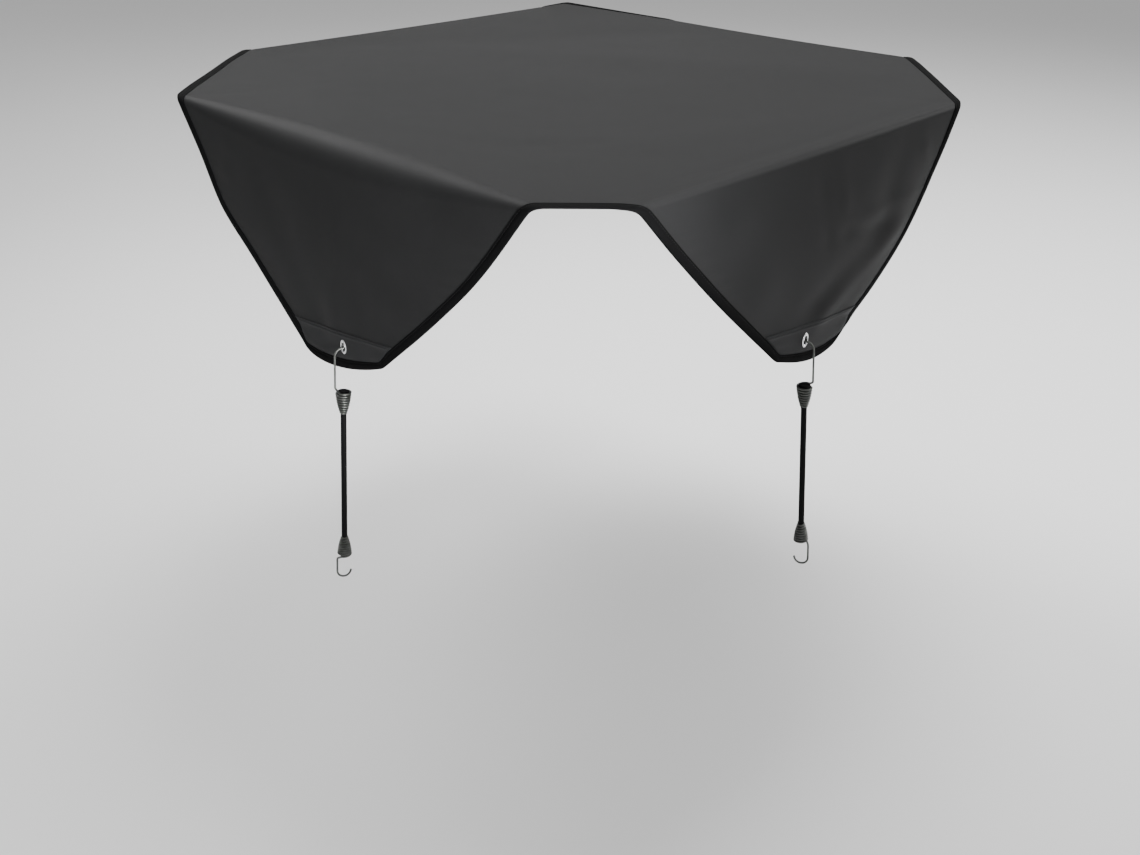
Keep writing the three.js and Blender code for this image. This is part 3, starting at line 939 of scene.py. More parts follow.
def tube(path: Array, radius: float | Array, sides: int) -> tuple[Array, list[Face], Array]:
    """A round bar with closed ends along a line.

    Args:
        path: The line's points.
        radius: The bar's radius, or one for each point and side.
        sides: How many sides it has.

    Returns:
        Its points, its faces and each point's (round, along) place.
    """
    heads = unit(np.gradient(path, axis=0))
    across = unit(np.cross(heads[0], ASIDE))
    rings, flats = [], []
    runs, angles = lengths_along(path), circle(sides)
    radii = np.broadcast_to(radius, (len(path), sides))
    for k, (point, head) in enumerate(zip(path, heads)):
        across = unit(across - head * (across @ head))
        other = np.cross(head, across)
        spokes = np.cos(angles)[:, None] * across + np.sin(angles)[:, None] * other
        rings.append(point + spokes * radii[k][:, None])
        flats.append(np.stack([angles * radii[k].mean(), np.full(sides, runs[k])], 1))
    return np.concatenate(rings), capped(len(path), sides), np.concatenate(flats)


def lathe(profile: Array, segments: int, closed: bool) -> tuple[Array, list[Face]]:
    """A body of revolution about Z.

    Args:
        profile: Its (radius, height) points.
        segments: How many steps go round.
        closed: Whether the profile is a closed loop, as for a ring.

    Returns:
        Its points and faces.
    """
    east, north = np.cos(circle(segments)), np.sin(circle(segments))
    rings = [np.stack([r * east, r * north, np.full(segments, h)], 1) for r, h in profile]
    return np.concatenate(rings), ring_faces(len(profile), segments, closed)


class Graph:
    """Adds shader nodes to one new material."""

    def __init__(self, name: str) -> None:
        """Makes the material with a bare surface shader.

        Args:
            name: The material's name.
        """
        self.material = bpy.data.materials.new(name)
        self.material.use_nodes = True
        self.tree = self.material.node_tree
        self.shader = self.tree.nodes["Principled BSDF"]

    def node(self, kind: str, values: dict[str | int, object] | None = None,
             **settings: object) -> bpy.types.Node:
        """Adds a node.

        Args:
            kind: The node's type, without its usual beginning.
            values: What each input holds: a number, a colour or another node's output.
            settings: The node's own settings.

        Returns:
            The node.
        """
        made = self.tree.nodes.new("ShaderNode" + kind)
        for key, value in settings.items():
            setattr(made, key, value)
        for key, value in (values or {}).items():
            self.put(made.inputs[key], value)
        return made

    def put(self, socket: bpy.types.NodeSocket, value: object) -> None:
        """Links an output to a socket, or sets the socket's own value.

        Args:
            socket: The socket.
            value: The output or the value.
        """
        if isinstance(value, bpy.types.NodeSocket):
            self.tree.links.new(value, socket)
        else:
            socket.default_value = value

    def surface(self, **values: object) -> None:
        """Sets the surface shader's inputs, with underscores for the spaces in their names."""
        for key, value in values.items():
            self.put(self.shader.inputs[key.replace("_", " ")], value)

    def maths(self, step: str, first: object, second: object = 0.0) -> bpy.types.NodeSocket:
        """One sum of two values."""
        return self.node("Math", {0: first, 1: second}, operation=step).outputs[0]

    def spread(self, value: object, low: float, high: float) -> bpy.types.NodeSocket:
        """A value from 0 to 1 spread between two limits."""
        made = self.node("MapRange", {"Value": value, "To Min": low, "To Max": high})
        return made.outputs["Result"]

    def noise(self, place: object, scale: float, detail: float = PLAIN,
              roughness: float = 0.5) -> bpy.types.NodeSocket:
        """Cloudy noise, read at a place."""
        values = {"Vector": place, "Scale": scale, "Detail": detail, "Roughness": roughness}
        return self.node("TexNoise", values).outputs["Fac"]

    def bands(self, place: object, pitch: float, axis: str,
              **values: float) -> bpy.types.NodeSocket:
        """Soft bands across one axis.

        Args:
            place: Where they are read.
            pitch: How far apart they are, in millimetres.
            axis: The axis.
            values: What the texture's other inputs hold, with underscores for spaces.

        Returns:
            Their value, from 0 to 1.
        """
        inputs = {"Vector": place, "Scale": 2 * math.pi / WAVE_TURNS / (pitch * MM)}
        inputs.update({key.replace("_", " "): value for key, value in values.items()})
        return self.node("TexWave", inputs, bands_direction=axis).outputs["Fac"]

    def bump(self, strength: float, depth: float, height: object) -> bpy.types.NodeSocket:
        """The direction of a surface roughened by heights, with the depth in millimetres."""
        values = {"Strength": strength, "Distance": depth * MM, "Height": height}
        return self.node("Bump", values).outputs["Normal"]

    def weighed(self, *parts: tuple[object, float]) -> bpy.types.NodeSocket:
        """Adds up several values.

        Args:
            parts: Each value with its weight.

        Returns:
            The sum of the values, each times its weight.
        """
        total, *others = [self.maths("MULTIPLY", value, weight) for value, weight in parts]
        for other in others:
            total = self.maths("ADD", total, other)
        return total

    def tinted(self, value: object, places: Pair, dark: Triple,
               light: Triple) -> bpy.types.NodeSocket:
        """A colour between a dark one and a light one.

        Args:
            value: What the colour is read by.
            places: The values at which it is quite dark and quite light.
            dark: The dark colour.
            light: The light colour.

        Returns:
            The colour.
        """
        ramp = self.node("ValToRGB", {"Fac": value})
        for mark, place, colour in zip(ramp.color_ramp.elements, places, (dark, light)):
            mark.position = place
            mark.color = (*colour, 1.0)
        return ramp.outputs["Color"]


@dataclass(frozen=True)
class WovenFinish:
    """Plain-woven cloth with a thin coat: crossed threads, slubs and an uneven gloss."""

    name: str
    dark: Triple
    light: Triple
    thread: float = 0.9
    thread_bend: float = 0.6
    thread_detail: float = 0.4
    roughness: Pair = (0.5, 0.62)
    specular: float = 0.13
    bump: float = 0.25
    bump_depth: float = 0.25
    slub_scale: float = 420.0
    slub_share: float = 0.35
    slub_height: float = 0.8
    cloud_scale: float = 7.0
    cloud_roughness: float = 0.6
    cloud_share: float = 0.65
    crossing_share: float = 0.08
    tones: Pair = (0.32, 0.72)

    def material(self) -> bpy.types.Material:
        """Builds the finish.

        Returns:
            The material.
        """
        graph = Graph(self.name)
        flat = graph.node("TexCoord").outputs["UV"]
        place = graph.node("TexCoord").outputs["Object"]
        bend = {"Distortion": self.thread_bend, "Detail_Scale": self.thread_detail}
        warp, weft = (graph.bands(flat, self.thread, axis, **bend) for axis in "XY")
        crossing = graph.maths("MULTIPLY", warp, weft)
        slub = graph.noise(flat, self.slub_scale, FINE)
        cloud = graph.noise(place, self.cloud_scale, FINEST, self.cloud_roughness)
        tone = graph.weighed(
            (slub, self.slub_share), (cloud, self.cloud_share), (crossing, self.crossing_share)
        )
        height = graph.weighed((crossing, 1.0), (slub, self.slub_height))
        graph.surface(
            Base_Color=graph.tinted(tone, self.tones, self.dark, self.light),
            Roughness=graph.spread(cloud, *self.roughness),
            Specular_IOR_Level=self.specular,
            Normal=graph.bump(self.bump, self.bump_depth, height),
        )
        return graph.material


@dataclass(frozen=True)
class TapeFinish:
    """Black twill tape, with slanting ribs and a little uneven wear."""

    name: str = "twill_tape"
    dark: Triple = (0.0006, 0.0006, 0.0007)
    light: Triple = (0.0024, 0.0024, 0.0026)
    rib: float = 1.1
    rib_bend: float = 0.15
    rib_share: float = 0.4
    fuzz_scale: float = 900.0
    worn_scale: float = 30.0
    roughness: Pair = (0.62, 0.8)
    specular: float = 0.04
    bump: float = 0.35
    bump_depth: float = 0.3
    tones: Pair = (0.25, 0.8)

    def material(self) -> bpy.types.Material:
        """Builds the finish.

        Returns:
            The material.
        """
        graph = Graph(self.name)
        flat = graph.node("TexCoord").outputs["UV"]
        ribs = graph.bands(flat, self.rib, "DIAGONAL", Distortion=self.rib_bend)
        fuzz = graph.noise(flat, self.fuzz_scale)
        worn = graph.noise(flat, self.worn_scale, FINE)
        tone = graph.weighed((ribs, self.rib_share), (worn, 1 - self.rib_share))
        graph.surface(
            Base_Color=graph.tinted(tone, self.tones, self.dark, self.light),
            Roughness=graph.spread(worn, *self.roughness),
            Specular_IOR_Level=self.specular,
            Normal=graph.bump(self.bump, self.bump_depth, graph.maths("ADD", ribs, fuzz)),
        )
        return graph.material


@dataclass(frozen=True)
class MetalFinish:
    """Bare metal with fine scratches and a slightly uneven gloss."""

    name: str
    dark: Triple
    light: Triple
    roughness: Pair
    grain: float
    cloud_scale: float = 160.0
    bump: float = 0.15
    bump_depth: float = 0.1
    tones: Pair = (0.3, 0.7)

    def material(self) -> bpy.types.Material:
        """Builds the finish.

        Returns:
            The material.
        """
        graph = Graph(self.name)
        place = graph.node("TexCoord").outputs["Object"]
        cloud = graph.noise(place, self.cloud_scale, FINER)
        grain = graph.noise(place, self.grain)
        graph.surface(
            Base_Color=graph.tinted(cloud, self.tones, self.dark, self.light),
            Roughness=graph.spread(grain, *self.roughness),
            Metallic=1.0,
            Normal=graph.bump(self.bump, self.bump_depth, grain),
        )
        return graph.material


@dataclass(frozen=True)
class BraidFinish:
    """Black braided sleeve: fine crossing strands with a dull textile gloss."""

    name: str = "black_braid"
    dark: Triple = (0.0012, 0.0012, 0.0014)
    light: Triple = (0.0045, 0.0045, 0.0048)
    fibre_scale: float = 1400.0
    patch_scale: float = 120.0
    roughness: Pair = (0.55, 0.75)
    specular: float = 0.1
    bump: float = 0.4
    bump_depth: float = 0.2
    tones: Pair = (0.3, 0.75)

    def material(self) -> bpy.types.Material:
        """Builds the finish.

        Returns:
            The material.
        """
        graph = Graph(self.name)
        flat = graph.node("TexCoord").outputs["UV"]
        fibre = graph.noise(flat, self.fibre_scale, FINE)
        patch = graph.noise(flat, self.patch_scale)
        graph.surface(
            Base_Color=graph.tinted(fibre, self.tones, self.dark, self.light),
            Roughness=graph.spread(patch, *self.roughness),
            Specular_IOR_Level=self.specular,
            Normal=graph.bump(self.bump, self.bump_depth, fibre),
        )
        return graph.material


@dataclass
class Finishes:
    """Every material of the cover, made once."""

    cloth: bpy.types.Material = field(init=False)
    patch: bpy.types.Material = field(init=False)
    tape: bpy.types.Material = field(init=False)
    thread: bpy.types.Material = field(init=False)
    eyelet: bpy.types.Material = field(init=False)
    barrel: bpy.types.Material = field(init=False)
    wire: bpy.types.Material = field(init=False)
    braid: bpy.types.Material = field(init=False)

    def __post_init__(self) -> None:
        """Builds them."""
        self.cloth = WovenFinish(
            "coated_cloth", (0.0042, 0.0043, 0.0045), (0.0078, 0.0079, 0.0082)
        ).material()
        self.patch = WovenFinish(
            "patch_cloth", (0.0068, 0.0070, 0.0075), (0.0108, 0.0110, 0.0117)
        ).material()
        self.tape = TapeFinish().material()
        self.thread = BraidFinish("sewing_thread", (0.002,) * 3, (0.006,) * 3).material()
        self.eyelet = MetalFinish(
            "eyelet_metal", (0.72, 0.73, 0.74), (0.84, 0.85, 0.86), (0.16, 0.3), 900.0
        ).material()
        # The barrel's inside is metal painted dark: painted shade for the eyelet's hollow, where
        # shadow falls behind the cloth.
        self.barrel = MetalFinish(
            "eyelet_barrel_painted_shade", (0.02,) * 3, (0.05,) * 3, (0.5, 0.7), 900.0
        ).material()
        self.wire = MetalFinish(
            "hook_wire", (0.075, 0.078, 0.073), (0.14, 0.145, 0.137), (0.38, 0.52), 1500.0
        ).material()
        self.braid = BraidFinish().material()


@dataclass
class PhotoCamera:
    """The camera at the photograph's angle. Lengths are metres, angles degrees."""

    place: Triple = (1.0533, -1.0858, 0.3230)
    round_to: float = 44.1815
    height: float = 22.8503
    roll: float = 0.4
    reach_px: float = 1243.746
    frame_px: float = 1140.0
    sensor_mm: float = 36.0
    shift: float = -0.1
    far: float = 60.0

    def build(self) -> bpy.types.Object:
        """Makes the camera and gives it to the scene.

        Returns:
            The camera.
        """
        turn, rise, roll = (math.radians(a) for a in (self.round_to, self.height, self.roll))
        level = math.cos(rise)
        back = Vector((math.sin(turn) * level, -math.cos(turn) * level, math.sin(rise)))
        right = Vector((0, 0, 1)).cross(back).normalized()
        up = back.cross(right)
        tilted = math.cos(roll) * right + math.sin(roll) * up
        upright = -math.sin(roll) * right + math.cos(roll) * up
        turned = Matrix((tilted, upright, back)).transposed().to_4x4()
        data = bpy.data.cameras.new("photo_camera")
        data.sensor_width = self.sensor_mm
        data.lens = self.reach_px / self.frame_px * self.sensor_mm
        data.shift_y = self.shift
        data.clip_end = self.far
        camera = linked("photo_camera", data)
        camera.matrix_world = Matrix.Translation(self.place) @ turned
        bpy.context.scene.camera = camera
        return camera


@dataclass
class SoftLight:
    """A large soft lamp that faces a point, in metres, watts and degrees of spread."""

    name: str
    place: Triple
    towards: Triple
    size: float
    power: float
    spread: float = 180.0

    def build(self) -> bpy.types.Object:
        """Makes the lamp.

        Returns:
            The lamp.
        """
        data = bpy.data.lights.new(self.name, "AREA")
        data.shape = "DISK"
        data.size = self.size
        data.energy = self.power
        data.spread = math.radians(self.spread)
        lamp = linked(self.name, data)
        lamp.location = self.place
        facing = Vector(self.towards) - Vector(self.place)
        lamp.rotation_euler = facing.to_track_quat("-Z", "Y").to_euler()
        return lamp


@dataclass
class Studio:
    """The plain pale floor, the pale surroundings and the lamps."""

    floor_height: float = -0.715
    floor_half: float = 14.0
    floor_tone: tuple[float, ...] = (0.9, 0.9, 0.9, 1.0)
    floor_roughness: Pair = (0.8, 0.9)
    floor_specular: float = 0.1
    floor_grain: float = 2.0
    air_tone: tuple[float, ...] = (1.0, 1.0, 1.0, 1.0)
    air_strength: float = 0.47
    lamps: tuple[SoftLight, ...] = (
        SoftLight("overhead_lamp", (-0.3, 0.9, 3.0), (-0.5, 0.7, -0.7), 1.6, 29.0, 100.0),
        SoftLight("left_lamp", (-2.15, -0.15, 2.35), (0.0, 0.1, 0.0), 1.7, 17.0, 70.0),
        SoftLight("back_lamp", (0.3, 2.3, 2.5), (0.3, 0.0, 0.0), 1.8, 46.0),
        SoftLight("low_lamp", (-2.0, 2.1, 1.9), (0.0, 0.0, 0.0), 2.2, 9.0),
        SoftLight("side_lamp", (1.8, 2.3, 1.2), (0.4, 0.0, 0.0), 1.0, 50.0),
        SoftLight("right_lamp", (1.45, -0.76, 0.03), (0.4, -0.46, -0.02), 0.3, 4.0, 30.0),
    )

    def build(self) -> None:
        """Makes the floor, the surroundings and the lamps."""
        half = self.floor_half
        square = ((-half, -half), (half, -half), (half, half), (-half, half))
        mesh = bpy.data.meshes.new("studio_floor")
        mesh.from_pydata([(x, y, self.floor_height) for x, y in square], [], [(0, 1, 2, 3)])
        graph = Graph("floor_paper")
        grain = graph.node("TexNoise", {"Scale": self.floor_grain}).outputs["Fac"]
        graph.surface(
            Base_Color=self.floor_tone,
            Roughness=graph.spread(grain, *self.floor_roughness),
            Specular_IOR_Level=self.floor_specular,
        )
        mesh.materials.append(graph.material)
        floor = linked("studio_floor", mesh)
        world = bpy.data.worlds.new("pale_air")
        world.use_nodes = True
        air = world.node_tree.nodes["Background"]
        air.inputs["Color"].default_value = self.air_tone
        air.inputs["Strength"].default_value = self.air_strength
        bpy.context.scene.world = world
        for lamp in self.lamps:
            lamp.build()


@dataclass(frozen=True)
class EyeletPlace:
    """An eyelet's centre on its flap and the way the cloth faces there."""

    centre: Array
    facing: Array


@dataclass
class CoverCloth:
    """The cloth sheet, with the holes for its eyelets, and the patches on its tips."""

    surface: CoverSurface
    finishes: Finishes
    eyelet_seat: float = 14.4
    eyelet_reach: float = 8.0
    ray_start: float = 100.0
    hole_radius: float = 6.1
    hole_share: float = 0.63
    hole_half: float = 6.0
    hole_sides: int = 40
    flat_width: float = 1.27
    flat_length: float = 1.24
    flat_area: float = 0.9
    patch_base: float = 0.04
    patch_thinned: float = 0.35
    seam_stitch_row: int = 4
    seam_stitch_lift: float = 0.45
    patch_profile: Table = (
        (0.0, 0.3), (0.5, 0.75), (1.1, 1.0), (1.8, 0.85), (2.6, 0.4), (3.4, 0.7), (4.2, 0.95),
        (5.0, 0.85), (5.9, 0.65), (7.0, 0.55), (300.0, 0.55),
    )

    def seat(self, k: int) -> EyeletPlace:
        """Where the eyelet of one flap sits.

        Args:
            k: The flap's number.

        Returns:
            The place, and the way that the cloth faces there.
        """
        side, skin = self.surface.sides[k], self.surface.skin(k)
        share = side.flap.eyelet
        down = float(side.hem_down(np.array(share))) - BAND - self.eyelet_seat
        start, end, _, _ = side.span(Strip(Row.HEM, 1.0))
        along = float(mix(start, end, share))
        inward = Vector((-side.out[0], -side.out[1], 0))

        def hit(right: float, below: float) -> Array:
            """The cloth's point at a place beside the eyelet's centre."""
            source = side.place(*map(np.array, (along + right, self.ray_start, down + below)))
            return np.array(skin.ray_cast(Vector(source), inward)[0])

        fall = hit(0, self.eyelet_reach) - hit(0, -self.eyelet_reach)
        across = hit(self.eyelet_reach, 0) - hit(-self.eyelet_reach, 0)
        return EyeletPlace(hit(0, 0), unit(np.cross(fall, across)))

    def _pierce(self, piece: bpy.types.Object, seats: Sequence[EyeletPlace]) -> None:
        """Cuts the eyelets' oval holes through a piece of cloth.

        Args:
            piece: The piece.
            seats: Where the eyelets sit.
        """
        maker = MeshMaker()
        for seat in seats:
            reach = np.linspace(-self.hole_half, self.hole_half, 3)[:, None]
            path = seat.centre + seat.facing * reach
            points, faces, _ = tube(path, self.hole_radius, self.hole_sides)
            level = unit(np.cross([0, 0, 1], seat.facing))
            aside = (points - seat.centre) @ level
            maker.add(points + np.outer(aside * (self.hole_share - 1), level), faces)
        cutter = maker.make("hole_cutter", [])
        modifier = piece.modifiers.new("holes", "BOOLEAN")
        modifier.operation = "DIFFERENCE"
        modifier.solver = "EXACT"
        modifier.object = cutter
        bpy.context.view_layer.update()
        finished = piece.evaluated_get(bpy.context.evaluated_depsgraph_get())
        cut = bpy.data.meshes.new_from_object(finished)
        old = piece.data
        piece.modifiers.clear()
        piece.data = cut
        cut.name = old.name + "_cut"
        bpy.data.meshes.remove(old)
        bpy.data.objects.remove(cutter)

    def cloth(self, seats: Sequence[EyeletPlace]) -> bpy.types.Object:
        """Makes the sheet.

        Args:
            seats: Where the eyelets sit.

        Returns:
            The sheet.
        """
        surface = self.surface
        lift = surface.normals * CLOTH_HALF
        edge = [outer for outer, _ in surface.rim]
        faces = both_sides(surface.faces, edge, len(surface.spots))
        maker = MeshMaker()
        points = np.concatenate([surface.spots + lift, surface.spots - lift])
        maker.add(points, faces, np.concatenate([surface.uvs, surface.uvs]))
        piece = maker.make("cloth_sheet", [self.finishes.cloth])
        self._pierce(piece, seats)
        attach(piece, BODY)
        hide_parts("cover_cloth")
        return piece

    def seam_line(self, k: int) -> tuple[Array, Array]:
        """The stitched line along the top of one flap's patch.

        Args:
            k: The flap's number.

        Returns:
            The line's points, and the way that it faces at each.
        """
        surface, inset = self.surface, self.surface.weave.band_steps
        row = surface.grids[k][surface.seam_row + self.seam_stitch_row][inset + 1: -inset - 1]
        ups = surface.normals[row]
        lift = CLOTH_HALF + self.patch_base + self.seam_stitch_lift
        return surface.spots[row] + ups * lift, ups

    def patch(self, k: int, seat: EyeletPlace) -> bpy.types.Object:
        """Makes the patch on one flap's tip, with the double ridge of its seam.

        Args:
            k: The flap's number.
            seat: Where its eyelet sits.

        Returns:
            The patch.
        """
        surface, inset = self.surface, self.surface.weave.band_steps
        name = surface.sides[k].flap.name
        block = surface.grids[k][surface.seam_row: surface.band_row + 1]
        block = block[:, inset: surface.weave.columns - inset + 1]
        spots, normals, flats = surface.spots[block], surface.normals[block], surface.uvs[block]
        depth = np.linalg.norm(spots - spots[:1], axis=-1)
        heights = np.interp(depth, *zip(*self.patch_profile))
        thinned = np.ones(block.shape)
        thinned[:, [0, -1]] = self.patch_thinned
        thinned[-1] = self.patch_thinned
        low = spots + normals * (CLOTH_HALF + self.patch_base)
        high = low + normals * (heights * thinned)[..., None]
        grid = np.arange(block.size).reshape(block.shape)
        edge = [*grid[:, 0], *grid[-1, 1:], *grid[-2::-1, -1], *grid[0, -2:0:-1]]
        maker = MeshMaker()
        maker.add(
            np.concatenate([high.reshape(-1, 3), low.reshape(-1, 3)]),
            both_sides(grid_faces(grid), edge, block.size),
            np.concatenate([flats.reshape(-1, 2)] * 2),
        )
        piece = maker.make(f"tip_patch_{name}", [self.finishes.patch])
        self._pierce(piece, [seat])
        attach(piece, BODY)
        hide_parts(f"patch_{name}")
        return piece


@dataclass
class EdgeBinding:
    """The folded tape round the whole edge."""

    surface: CoverSurface
    finishes: Finishes
    inside: float = CLOTH_HALF + 0.05
    thick: float = 0.6
    stitch_dip: float = 0.3
    stitch_share: float = 0.2
    fold_steps: int = 6
    fold_reach: float = 1.1
    flat_pitch: float = 1.6
    profile: Table = (
        (0.0, -0.4), (0.02, -0.05), (0.08, 0.1), (0.14, -0.02), (0.2, -0.3), (0.27, 0.02),
        (0.36, 0.36), (0.5, 0.45), (0.68, 0.4275), (0.84, 0.2475), (0.94, 0.15), (1.0, 0.0),
    )

    def _face(self, station: tuple[Array, ...], way: int) -> list[Array]:
        """One face of the tape at one station.

        Args:
            station: The station, as frames gives it.
            way: 1 for the outer face, -1 for the inner.

        Returns:
            The face's points, from its free edge to the fold.
        """
        at, up, inner, up_inner, _ = station
        top = self.inside + self.thick
        return [
            mix(inner, at, share) + unit(mix(up_inner, up, share)) * (top + lift) * way
            for share, lift in self.profile
        ]

    def frames(self) -> list[tuple[Array, ...]]:
        """The stations along the edge.

        Returns:
            For each: the edge's point, its normal, the inner line's point, its normal, and the
            way beyond the edge.
        """
        surface = self.surface
        edge = [outer for outer, _ in surface.rim]
        made = []
        for i, (outer, inner) in enumerate(surface.rim):
            at, up = surface.spots[outer], surface.normals[outer]
            ahead = surface.spots[edge[(i + 1) % len(edge)]]
            behind = surface.spots[edge[i - 1]]
            beyond = unit(np.cross(ahead - behind, up))
            made.append((at, up, surface.spots[inner], surface.normals[inner], beyond))
        return made

    def build(self) -> bpy.types.Object:
        """Makes the tape.

        Returns:
            The tape.
        """
        stations = self.frames()
        radius = self.inside + self.thick
        points, flats = [], []
        run = 0.0
        for i, station in enumerate(stations):
            at, up, inner, up_inner, beyond = station
            run += float(np.linalg.norm(at - stations[i - 1][0])) if i else 0.0
            section = self._face(station, 1)
            for s in range(1, self.fold_steps):
                turn = math.pi * s / self.fold_steps
                reach = beyond * self.fold_reach * math.sin(turn)
                section.append(at + up * radius * math.cos(turn) + reach)
            section += self._face(station, -1)[::-1]
            section += [
                inner - up_inner * self.inside, at - up * self.inside,
                at + up * self.inside, inner + up_inner * self.inside,
            ]
            points += section
            flats += [(run, self.flat_pitch * k) for k in range(len(section))]
        faces = ring_faces(len(stations), len(points) // len(stations), closed=True)
        maker = MeshMaker()
        maker.add(np.array(points), faces, np.array(flats))
        piece = maker.make("folded_tape", [self.finishes.tape])
        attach(piece, BODY)
        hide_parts("edge_binding")
        return piece

    def seam_lines(self) -> list[tuple[Array, Array]]:
        """The stitched line on each face of the tape.

        Returns:
            For each line: its points, and the way that it faces at each.
        """
        lines = []
        top = self.inside + self.thick - self.stitch_dip
        for side in (1, -1):
            spots, ups = [], []
            for at, up, inner, up_inner, _ in self.frames():
                facing = unit(mix(up_inner, up, self.stitch_share)) * side
                spots.append(mix(inner, at, self.stitch_share) + facing * top)
                ups.append(facing)
            lines.append((np.array(spots), np.array(ups)))
        return lines


@dataclass
class Stitching:
    """Rows of sewing thread: short raised stitches with a small gap between them.

    The profile's rows are (share of the stitch's length, share of its radius, lift).
    """

    finishes: Finishes
    pitch: float = 3.6
    length: float = 2.7
    radius: float = 0.26
    sides: int = 5
    profile: tuple[Triple, ...] = (
        (0.0, 0.35, -0.16), (0.18, 0.9, 0.06), (0.5, 1.0, 0.14), (0.82, 0.9, 0.06),
        (1.0, 0.35, -0.16),
    )

    def _stitches(self, maker: MeshMaker, line: Array, ups: Array) -> None:
        """Lays stitches along one line.

        Args:
            maker: What collects them.
            line: The line's points.
            ups: The way that it faces at each.
        """
        runs, angles = lengths_along(line), circle(self.sides)
        shares, sizes, lifts = (np.array(column) for column in zip(*self.profile))
        for start in np.arange(self.pitch / 2, runs[-1] - self.pitch, self.pitch):
            path = read_along(line, runs, start + self.length * shares)
            up = unit(read_along(ups, runs, start + self.length / 2))
            across = np.cross(unit(path[-1] - path[0]), up)
            spokes = np.cos(angles)[:, None] * across + np.sin(angles)[:, None] * up
            rings = [
                point + up * lift + self.radius * size * spokes
                for point, size, lift in zip(path, sizes, lifts)
            ]
            maker.add(np.concatenate(rings), capped(len(rings), self.sides))

    def build(self, name: str, lines: Sequence[tuple[Array, Array]],
              slot: Slot) -> bpy.types.Object:
        """Makes the stitches of several lines as one piece.

        Args:
            name: The piece's name.
            lines: Each line's points and the way that it faces at each.
            slot: The record's slot that the thread goes with; not used.

        Returns:
            The piece.
        """
        maker = MeshMaker()
        for line, ups in lines:
            self._stitches(maker, line, ups)
        piece = maker.make(name, [self.finishes.thread])
        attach(piece, BODY)
        return piece


@dataclass
class Eyelet:
    """A pressed oval eyelet: a rolled outer flange, a short barrel and a flat washer behind.

    Its section is cut at its top: the barrel, the lip that rolls over from it, and the flange and
    the washer, as (radius, height) rows. narrow is the eyelet's width over its height.
    """

    finishes: Finishes
    narrow: float = 0.58
    segments: int = 56
    barrel: Table = ((5.05, -1.2), (4.8, -0.9), (4.8, 0.9))
    lip_top: float = 2.15
    lip_reach: float = 1.7
    lip_steps: int = 6
    lip_turns: Pair = (0.1, 0.5)
    flange: Table = (
        (7.0, 2.1), (7.8, 1.9), (8.2, 1.65), (8.3, 1.4), (8.05, 1.3), (5.7, 1.3), (5.7, -1.2),
        (7.5, -1.2), (7.6, -1.45), (7.35, -1.7), (6.5, -1.8), (5.6, -1.65),
    )

    def section(self) -> Array:
        """The closed outline of its section.

        Returns:
            Its (radius, height) rows, of which the first three bound the barrel.
        """
        bore, level = self.barrel[-1]
        turns = np.linspace(*self.lip_turns, self.lip_steps) * math.pi
        reach = bore + self.lip_reach * (1 - np.cos(turns))
        lip = np.stack([reach, mix(level, self.lip_top, np.sin(turns))], 1)
        return np.concatenate([self.barrel, lip, self.flange])

    def build(self, side: Side, seat: EyeletPlace) -> bpy.types.Object:
        """Makes the eyelet of one flap.

        Args:
            side: The flap's side.
            seat: Where the eyelet sits.

        Returns:
            The eyelet.
        """
        points, faces = lathe(self.section(), self.segments, closed=True)
        points[:, 0] *= self.narrow
        across = unit(np.cross([0, 0, 1], seat.facing))
        turned = np.stack([across, np.cross(seat.facing, across), seat.facing])
        # The barrel's faces take the second finish, painted dark as shade inside the hole.
        inner = (len(self.barrel) - 1) * self.segments
        kinds = [1] * inner + [0] * (len(faces) - inner)
        maker = MeshMaker()
        maker.add(seat.centre + points @ turned, faces, finish=kinds)
        name = side.flap.name
        piece = maker.make(f"pressed_eyelet_{name}", [self.finishes.eyelet, self.finishes.barrel])
        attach(piece, BODY)
        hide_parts(f"eyelet_{name}")
        return piece


